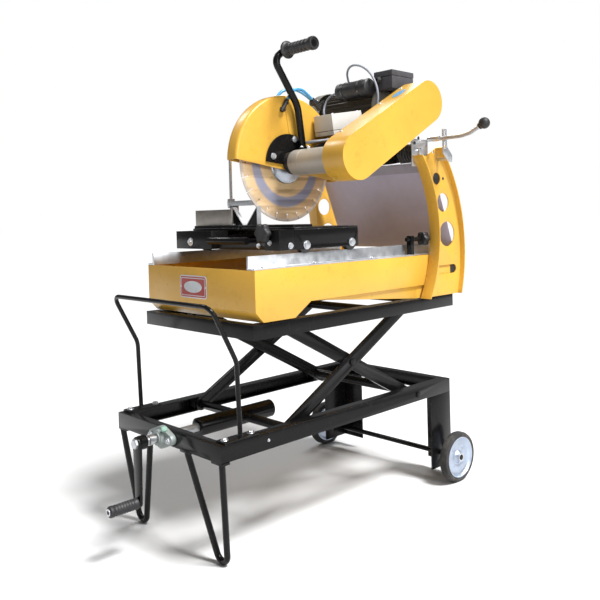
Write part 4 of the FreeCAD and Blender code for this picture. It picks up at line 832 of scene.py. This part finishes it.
def make_cords():
    """Two water hoses and three cables, each along its route from end to end."""
    cord("water_hose_right", "hose_right", [(27.4, 432, 1201.2), (27.4, 446, 1226), (25, 477, 1240),
        (22, 509, 1238), (18, 542, 1216)], 9, "hose_blue")
    cord("water_hose_left", "hose_left", [(-31.1, 432, 1201.2), (-31.1, 450, 1233), (-23, 486, 1247),
        (-12, 526, 1243), (0, 556, 1217)], 9, "hose_blue")
    cord("motor_cable_run", "motor_cable", [(4, 736, 1258.2), (2, 728, 1290), (14, 706, 1318),
        (50, 690, 1335), (98, 686, 1325), (138, 686, 1295), (162, 686, 1252), (168, 685, 1206),
        (156, 680, 1168), (136, 671, 1148), (113.2, 664, 1141)], 7, "cable_grey")
    cord("drop_cable_run", "drop_cable", [(-3.2, 690, 1253), (-30, 688, 1253), (-55, 683, 1237),
        (-64, 676, 1211), (-56, 666, 1186), (-34, 658, 1169), (0, 654, 1158), (30.8, 652, 1153)], 7,
        "cable_grey")
    cord("loop_cable_run", "loop_cable", [(62, 639.8, 1104), (61, 598, 1096), (59, 554, 1088),
        (58, 512, 1078), (58, 479, 1073), (76, 461, 1072), (102, 461, 1073), (120, 479, 1074),
        (119, 514, 1080), (117, 556, 1089), (113, 598, 1097), (110, 639.8, 1104)], 7, "cable_grey")


def make_fittings():
    """Push-in elbows on both sides of the guard, and the tee that the hoses run to."""
    bm = bmesh.new()
    for x, side in ((28.1, 1), (-31.1, -1)):
        cylinder(bm, (x - side * 6, 414, 1172), (x + side * 5, 414, 1172), 8, 0, 1.2, 20)
        sweep(bm, rounded([(x, 408, 1166), (x, 420, 1182), (x, 431, 1201)], (16,), 6), 6.2, 20)
        lathe(bm, (x, 425.6, 1191), (0, 0.5, 0.866), [(0, 6.3), (0.5, 7.6), (6, 7.6), (6.5, 6.8),
            (8, 6.8), (8.4, 5)], 24)
    cylinder(bm, (-5, 560, 1205), (23, 560, 1205), 8.4, 0, 1.2, 24)
    sweep(bm, [(18, 545, 1213), (16, 556, 1207), (10, 574, 1196), (7, 583, 1189)], 8, 20)
    sweep(bm, [(0, 557, 1216), (4, 562, 1209), (8, 572, 1198)], 7.6, 20)
    for start, end in (((18, 543.5, 1214), (17, 549, 1210.4)), ((0, 555, 1216), (2, 560, 1212))):
        cylinder(bm, start, end, 8.6, 0, 0.8, 20)
    finished("hose_fitting_set", bm, "head", "black_plastic", ["black_plastic"], "hose_fittings",
        sharp=50)


def make_switch_box():
    """Box and lid with a dark seal between them, leaning back on the head's deck."""
    lean = math.radians(9)
    origin = Vector((31, 541, 1096))
    bm = bmesh.new()

    def slab(low, high, mat, inset=0.0):
        corners = cuboid(bm, (31 + inset, 541 + inset, low), (113 - inset, 681 - inset, high), mat)
        bmesh.ops.rotate(bm, verts=corners, cent=origin, matrix=Matrix.Rotation(lean, 3, "X"))
        return corners

    slab(1096, 1108.4, 0, 1.0)
    slab(1108.4, 1110, 1, 2.6)
    lid = slab(1110, 1159, 0)
    for vertex in lid[1::2]:
        vertex.co.y += 3.5 if vertex.co.y < 600 else -3.5
        vertex.co.x += 2.5 if vertex.co.x < 70 else -2.5
    finished("switch_box_case", bm, "head", "grey_plastic", ["grey_plastic", "black_plastic"],
        "switch_box", bevel=4.5, segments=4, angle=50, sharp=45)
    bm = bmesh.new()
    normal = Vector((0, -math.sin(lean), math.cos(lean)))
    along = Vector((0, math.cos(lean), math.sin(lean)))
    for x in (9, 73):
        for y in (13, 124):
            place = origin + Vector((x, 0, 0)) + along * y + normal * 62.8
            cap_screw(bm, place, normal, 4.2)
    finished("switch_box_screws", bm, "head", "zinc_steel")
    bm = bmesh.new()
    for x in (48, 96):
        cap_screw(bm, (x, 539.5, 1104), "-Y", 3.4)
    finished("switch_base_screws", bm, "head", "zinc_steel")


# ---- stand details
def make_stand_bolts():
    """Bolts through the hand loop's feet and small screws along the frame's sides."""
    bm = bmesh.new()
    for side in (-1, 1):
        for y in (27, 107):
            bolt(bm, (side * 222, y, 317.1), "Z", 8, 0)
        for y in (148, 758):
            bolt(bm, (side * 242, y, 293), (side, 0, 0), 3.4)
        for x in (88, 222):
            bolt(bm, (side * x, 14, 264.5), "-Z", 5.5, 0)
    for x in (-150, 150):
        bolt(bm, (x, 918, 291), "Y", 7, 0)
    finished("frame_bolts", bm, "stand", "zinc_steel")


def make_wheel(name, side):
    """Pressed zinc disc with rivets and a hub, in a solid rubber tyre."""
    outward = Vector((side, 0, 0))
    origin = Vector((296 * side, 874, 77.5))
    bm = bmesh.new()
    lathe(bm, origin - outward * 15, outward, [(2, 62.8), (2, 66), (0.5, 70), (2.5, 75), (8, 77.3),
        (22, 77.3), (27.5, 75), (29.5, 70), (28, 66), (28, 62.8), (2, 62.8)], 72, 0)
    for face in (1, -1):
        lathe(bm, origin, outward * face, [(12, 62.9), (14.2, 62.9), (14.2, 60), (9, 57), (6, 50),
            (5.2, 42), (6.6, 38), (6.6, 31), (4.4, 27), (4.4, 21), (8, 17), (14.6, 14.5), (15, 8.2)], 72,
            1)
        for index in range(4):
            a = math.radians(45 + 90 * index)
            place = origin + outward * face * 6.4 + Vector((0, math.cos(a), math.sin(a))) * 34.5
            lathe(bm, place, outward * face, [(0, 4.6), (1.2, 4.3), (2.2, 2.6), (2.4, 0)], 16, 1)
    finished("wheel_%s_disc" % name, bm, "%s_wheel" % name, "wheel_tyre", ["wheel_tyre", "wheel_zinc"],
        "wheel_" + name)
    bm = bmesh.new()
    lathe(bm, origin + outward * 15.4, outward, [(0, 8.1), (0, 13), (1.2, 13), (1.2, 9)], 28)
    finished("wheel_%s_washer" % name, bm, "stand", "zinc_steel")


def make_wheels():
    make_wheel("left", -1)
    make_wheel("right", 1)


def make_screw():
    """Screw with its thread drawn as rings, its collar, the flange bearing and its grease cap."""
    bm = bmesh.new()
    profile = [(0, 0), (0, 9.4), (1.2, 10.6), (30, 10.6), (31, 13.5), (43, 13.5), (44, 10.6)]
    for along in range(82, 362, 5):
        profile += [(along, 10.9), (along + 1.5, 10.9), (along + 2.4, 8.9), (along + 3.9, 8.9)]
    profile += [(364, 9), (365, 0)]
    lathe(bm, (0, -80, 291), "Y", profile, 40)
    finished("lead_screw_thread", bm, "crank", "bare_steel", ["screw_steel"], "lead_screw")
    bm = bmesh.new()
    outline = []
    for centre, radius, first, last in ((41, 14, -62, 62), (0, 29, 62, 118), (-41, 14, 118, 242),
                                        (0, 29, 242, 298)):
        outline += arc(centre, 291, radius, first, last, 8)
    plate = flat_plate(outline, [circle(0, 291, 12)], "Y", -15.8, -0.2, 1.5)
    for x in (-41, 41):
        bolt(plate, (x, -15.8, 291), "-Y", 8, 1, nut=True)
    lathe(plate, (0, -15.8, 291), "-Y", [(0, 23), (7, 20.5), (9, 19.5), (9, 17.5), (12, 17), (12, 11.2)],
        48)
    lathe(plate, (19, -13, 309), (0.45, -0.35, 0.8), [(0, 4.5), (6, 4.5), (6, 7.4), (12, 7.8), (14, 5.5),
        (14.6, 0)], 20, 2)
    finished("screw_bearing_flange", plate, "stand", "grey_housing", ["bearing_grey", "zinc_steel",
        "cap_mint"], "screw_bearing", sharp=32)


def make_crank():
    """Flat arm with a boss and a nut, and a ribbed turning grip on a pin."""
    arm = arc(0, 291, 17, 0, 180, 12) + arc(0, 141, 12, 180, 360, 12)
    plate = flat_plate(arm, [], "Y", -84, -76, 1.2)
    lathe(plate, (0, -58, 291), "-Y", [(0, 10.8), (0, 16.5), (1.5, 18), (17, 18), (18, 17)], 40)
    hexagon(plate, (0, -84, 291), "-Y", 13, 8, 1)
    cylinder(plate, (0, -84, 141), (0, -165, 141), 5.9, 1)
    lathe(plate, (0, -163.6, 141), "-Y", [(0, 5.8), (0, 9), (1.4, 9), (1.4, 0)], 20, 1)
    finished("crank_arm_bar", plate, "crank", "black_paint", ["black_paint", "zinc_steel"], "crank_arm",
        sharp=32)
    bm = bmesh.new()
    profile = [(0, 6.2), (0, 12), (2, 14.3), (5, 14.5)]
    for index in range(8):
        low = 9 + index * 7.4
        profile += [(low, 14.4), (low + 2, 12.9), (low + 4, 12.9), (low + 6, 14.4)]
    profile += [(73, 14.5), (76, 14), (78, 11.5), (78, 6.2)]
    lathe(bm, (0, -85, 141), "-Y", profile, 48)
    finished("crank_grip_rubber", bm, "crank_handle", "grip_black", ["grip_black"], "crank_grip")


# ---- table details
def make_badge():
    """Plain plate on the tray: a white border round a red field with a pale oval."""
    bm = bmesh.new()

    def corner_plate(low_x, high_x, low_z, high_z, radius, low_y, high_y, mat):
        left, right, low, high = (low_x + radius, high_x - radius, low_z + radius, high_z - radius)
        outline = []
        for x, z, first in ((right, high, 0), (left, high, 90), (left, low, 180), (right, low, 270)):
            outline += arc(x, z, radius, first, first + 90, 5)
        prism(bm, outline, "Y", low_y, high_y, mat)

    corner_plate(-80, 45, 638, 700, 9, 111.5, 112.9, 0)
    corner_plate(-77, 42, 641, 697, 7, 111.2, 111.5, 1)
    corner_plate(-73.5, 38.5, 644.5, 693.5, 5, 110.95, 111.2, 0)
    corner_plate(-71.5, 36.5, 646.5, 691.5, 4, 110.7, 110.95, 1)
    oval = [(-17.5 + 42 * u, 669 + 16 * v) for u, v in circle(0, 0, 1)]
    prism(bm, oval, "Y", 110.5, 110.7, 0)
    for x in (-74, 39):
        lathe(bm, (x, 111.2, 669), "-Y", [(0, 2.6), (0.9, 2.2), (1.3, 0)], 14, 2)
    finished("tray_badge", bm, "table", "plate_print", ["label_white", "plate_print", "zinc_steel"],
        "tray_plate")


def make_table_bolts():
    """Screws, bolts and small fittings of the tray and the right upright, and dark pieces behind and on
    its holes that paint the shade in them.
    """
    bm = bmesh.new()
    for y in (150, 330, 560, 740, 860):
        for side in (-1, 1):
            cap_screw(bm, (side * 236, y, 726.6), "Z", 6)
    # head pivot clamps and the guide plates of the right upright
    for y, z in ((752, 1012), (808, 1012), (752, 1072), (808, 1072)):
        bolt(bm, (249.3 if z < 1030 else 244, y, z), "-X", 5.6)
    # black bush behind the uppermost hole of the right upright, and a thin dark disc for the small hole
    # beside it: the hole's dark is painted shade
    lathe(bm, (248.3, 859, 962), "X", [(0, 0), (0, 21), (0.7, 21), (0.7, 9), (0.3, 8), (0.3, 0)], 40, 1)
    lathe(bm, (253.25, 892.4, 962.8), "X", [(0, 0), (0, 5.2), (0.3, 5), (0.3, 0)], 24, 1)
    # dark block behind the long hole low in the same upright: painted shade seen through the slot
    cuboid(bm, (238, 929, 641), (248.6, 957, 699), 1)
    # thin dark discs for the holes of the slotted pivot plate: painted shade in the holes
    for y, z in ((770, 1086), (751, 1070), (779, 1050)):
        lathe(bm, (253.3, y, z), "X", [(0, 0), (0, 5.4), (0.3, 5.2), (0.3, 0)], 20, 1)
    finished("table_bolts_and_painted_shade", bm, "table", "zinc_steel", ["zinc_steel", "grip_black"], sharp=35)
    # skirt of the tray carried on to the right upright
    bm = bmesh.new()
    skirt = [(757, 589), (780, 589), (802, 628), (757, 628)]
    prism(bm, skirt, "X", 238.4, 240.4)
    finished("tray_skirt_end", bm, "table", "yellow_paint", sharp=30)


def make_screen():
    """Splash sheet with a folded hem along its top and a stiffer strip below it."""
    low = Vector((0, 950.5, 737))
    high = Vector((0, 842.5, 1017))
    along = (high - low).normalized()
    out = Vector((0, along.z, -along.y))
    bm = bmesh.new()
    rows, columns = 36, 28
    grid = []
    for row in range(rows + 1):
        share = row / rows
        line = []
        for column in range(columns + 1):
            x = -256 + 503.5 * column / columns
            sag = 2.2 * math.sin(math.pi * column / columns)
            ripple = 0.5 * math.sin(column * 0.9 + 3 * share)
            line.append(bm.verts.new(low + (high - low) * share + Vector((x, 0, 0))
                                     + out * (sag + ripple) * math.sin(math.pi * share)))
        grid.append(line)
    skin(bm, grid[:-4], 0, closed=False)
    skin(bm, grid[-5:], 1, closed=False)
    finished("splash_sheet", bm, "table", "screen_sheet", ["screen_sheet", "screen_strip"],
        "splash_screen", solid=2.0, sharp=50)
    bm = bmesh.new()
    for share, thick in ((0.985, 2.6), (0.885, 1.2)):
        centre = low + (high - low) * share
        cylinder(bm, centre + Vector((-255, 0, 0)), centre + Vector((246, 0, 0)), thick, 0, 0.4, 16)
    finished("splash_hem", bm, "table", "screen_sheet", ["screen_strip"])


# ---- lock, stop, cart
def make_lever():
    """Bent lock lever with a ball on its end."""
    route = [(303, 820, 1083), (378, 820, 1084), (410, 820, 1090), (448, 820, 1108)]
    bm = bmesh.new()
    sweep(bm, rounded(route, (90, 60), 8), 6, 24)
    lathe(bm, (441, 820, 1104.6), (0.905, 0, 0.425), [(0, 6), (0, 9.5), (8, 8.6), (9, 7.5), (9, 6)], 24,
        1)
    finished("lock_lever_bar", bm, "lever", "zinc_steel", ["lever_steel", "zinc_steel"], "lock_lever")
    bm = bmesh.new()
    bmesh.ops.create_uvsphere(bm, u_segments=40, v_segments=24, radius=17)
    for vertex in bm.verts:
        vertex.co += Vector((460, 820, 1114))
    lathe(bm, (446.5, 820, 1107.6), (0.905, 0, 0.425), [(-4, 6.2), (-4, 9.8), (1, 10.6), (5, 10.6)], 28,
        0)
    finished("lock_lever_ball", bm, "lever", "black_plastic", ["grip_black"])


def star(bm, centre, axis, radius, depth):
    """Star knob with six rounded lobes, its ends drawn in and closed flat."""
    axis, first, second = around(axis)
    rings = []
    for along, scale in ((0, 0.86), (0.12, 0.96), (0.35, 1.0), (0.75, 1.0), (0.93, 0.95), (1, 0.84)):
        rings.append(ring(bm, Vector(centre) + axis * depth * along, first, second, 72,
                          lambda a: radius * scale * (0.90 + 0.10 * math.cos(6 * a))))
    skin(bm, rings)
    cap(bm, rings)


def make_knobs():
    """Star knobs of the rail stop and of the cart lock."""
    bm = bmesh.new()
    star(bm, (238, 789.4, 773), "Y", 22.8, 22.4)
    cylinder(bm, (238, 716.4, 773), (238, 790, 773), 6.9, 1, 1.4)
    finished("rail_stop_knob", bm, "stop", "black_plastic", ["grip_black", "black_paint"], "rail_stop")
    bm = bmesh.new()
    star(bm, (184.4, 185.3, 811.4), "Y", 27.4, 17.4)
    cylinder(bm, (184.4, 195.5, 811.4), (184.4, 246.6, 811.4), 4.9, 1)
    finished("cart_lock_knob", bm, "cart_knob", "black_plastic", ["grip_black", "zinc_steel"],
        "cart_lock")


def make_cradle():
    """Cheeks of the V block: black blocks faced with bright bent sheet."""
    base, top, half, low, high = 832.6, 884.8, 57.8, 281.4, 295.0
    edge = half - 2.6
    cheek = [(9.5, base), (edge, base), (edge, top - 4)]
    slope = [(7.2, base), (10.2, base), (half - 1.6, top - 1.6), (edge, top)]
    post = [(edge, base), (half, base), (half, top), (edge, top)]
    bm = bmesh.new()
    for side in (-1, 1):
        for outline, inset, mat in ((cheek, 1.6, 0), (slope, 0, 1), (post, 0, 1)):
            prism(bm, [(side * u, v) for u, v in outline[::side]], "Y", low + inset, high - inset, mat)
    finished("pipe_cradle_cheeks", bm, "cart", "black_paint", ["black_paint", "zinc_steel"],
        "pipe_cradle", sharp=30)


def make_fence():
    """Fence bent from stained plate, held by two screws through its foot."""
    bm = bmesh.new()
    cuboid(bm, (-221.8, 266.2, 832.5), (-40.2, 269.8, 878.8))
    cuboid(bm, (-221.8, 269.6, 832.5), (-40.2, 279.8, 836.1), 1)
    for x in (-190, -84):
        cap_screw(bm, (x, 275, 836), "Z", 4, 1)
    finished("fence_plate", bm, "cart", "bare_steel", ["cart_steel", "zinc_steel"], "fence", bevel=0.8,
        angle=50, sharp=35)


def make_cart_details():
    """Bolts of the cart, its pull bar and the post of the clamp."""
    bm = bmesh.new()
    lathe(bm, (-158, 203, 787), "-Y", [(0, 0), (0, 12), (1.6, 12), (2, 11), (2, 0)], 32)
    bolt(bm, (-158, 201, 787), "-Y", 7)
    for side in (-1, 1):
        for y in (305, 480):
            lathe(bm, (side * 233, y, 777), (side, 0, 0), [(0, 0), (0, 12), (1.5, 12), (1.9, 11),
                (1.9, 0)], 32)
    bolt(bm, (233, 247, 777), "X", 7)
    bolt(bm, (196, 208, 786), "-Y", 6, nut=True)
    bolt(bm, (130, 225, 777), "-Y", 6)
    finished("cart_screws", bm, "cart", "zinc_steel")
    bm = bmesh.new()
    lathe(bm, (-54.6, 195, 791), "X", [(0, 0), (0, 9), (1, 10), (171, 10), (172.4, 9), (172.4, 0)], 32)
    finished("cart_pull_rod", bm, "cart", "black_paint", ["black_paint"], "cart_pull_bar")
    bm = bmesh.new()
    cylinder(bm, (-145, 345, 824.4), (-145, 345, 1070), 4.45, 0, 1.2, 24)
    cuboid(bm, (-161, 335, 824.2), (-129, 361.3, 829), 1)
    cuboid(bm, (-161, 357.5, 824.2), (-129, 361.3, 892.9), 1)
    bolt(bm, (-156, 357.5, 846), "-Y", 4, 2)
    lathe(bm, (-145, 345, 824.2), "Z", [(0, 12), (5, 12), (6, 10.5), (14, 8.5), (15.6, 6), (15.6, 4)], 28,
        0)
    finished("clamp_post_rod", bm, "cart", "bare_steel", ["chrome", "zinc_steel", "bearing_grey"],
        "clamp_post", sharp=35)


# ---- all pieces
for make in (make_camera, make_studio, make_blade, make_hood, make_belt_guard, make_motor, make_housing,
        make_handle, make_cords, make_fittings, make_switch_box, make_stand_bolts, make_wheels,
        make_screw, make_crank, make_badge, make_table_bolts, make_screen, make_lever, make_knobs,
        make_cradle, make_fence, make_cart_details):
    make()
for node in sorted(NODES):
    if not NODES[node].hide_render:
        from_cad(node)
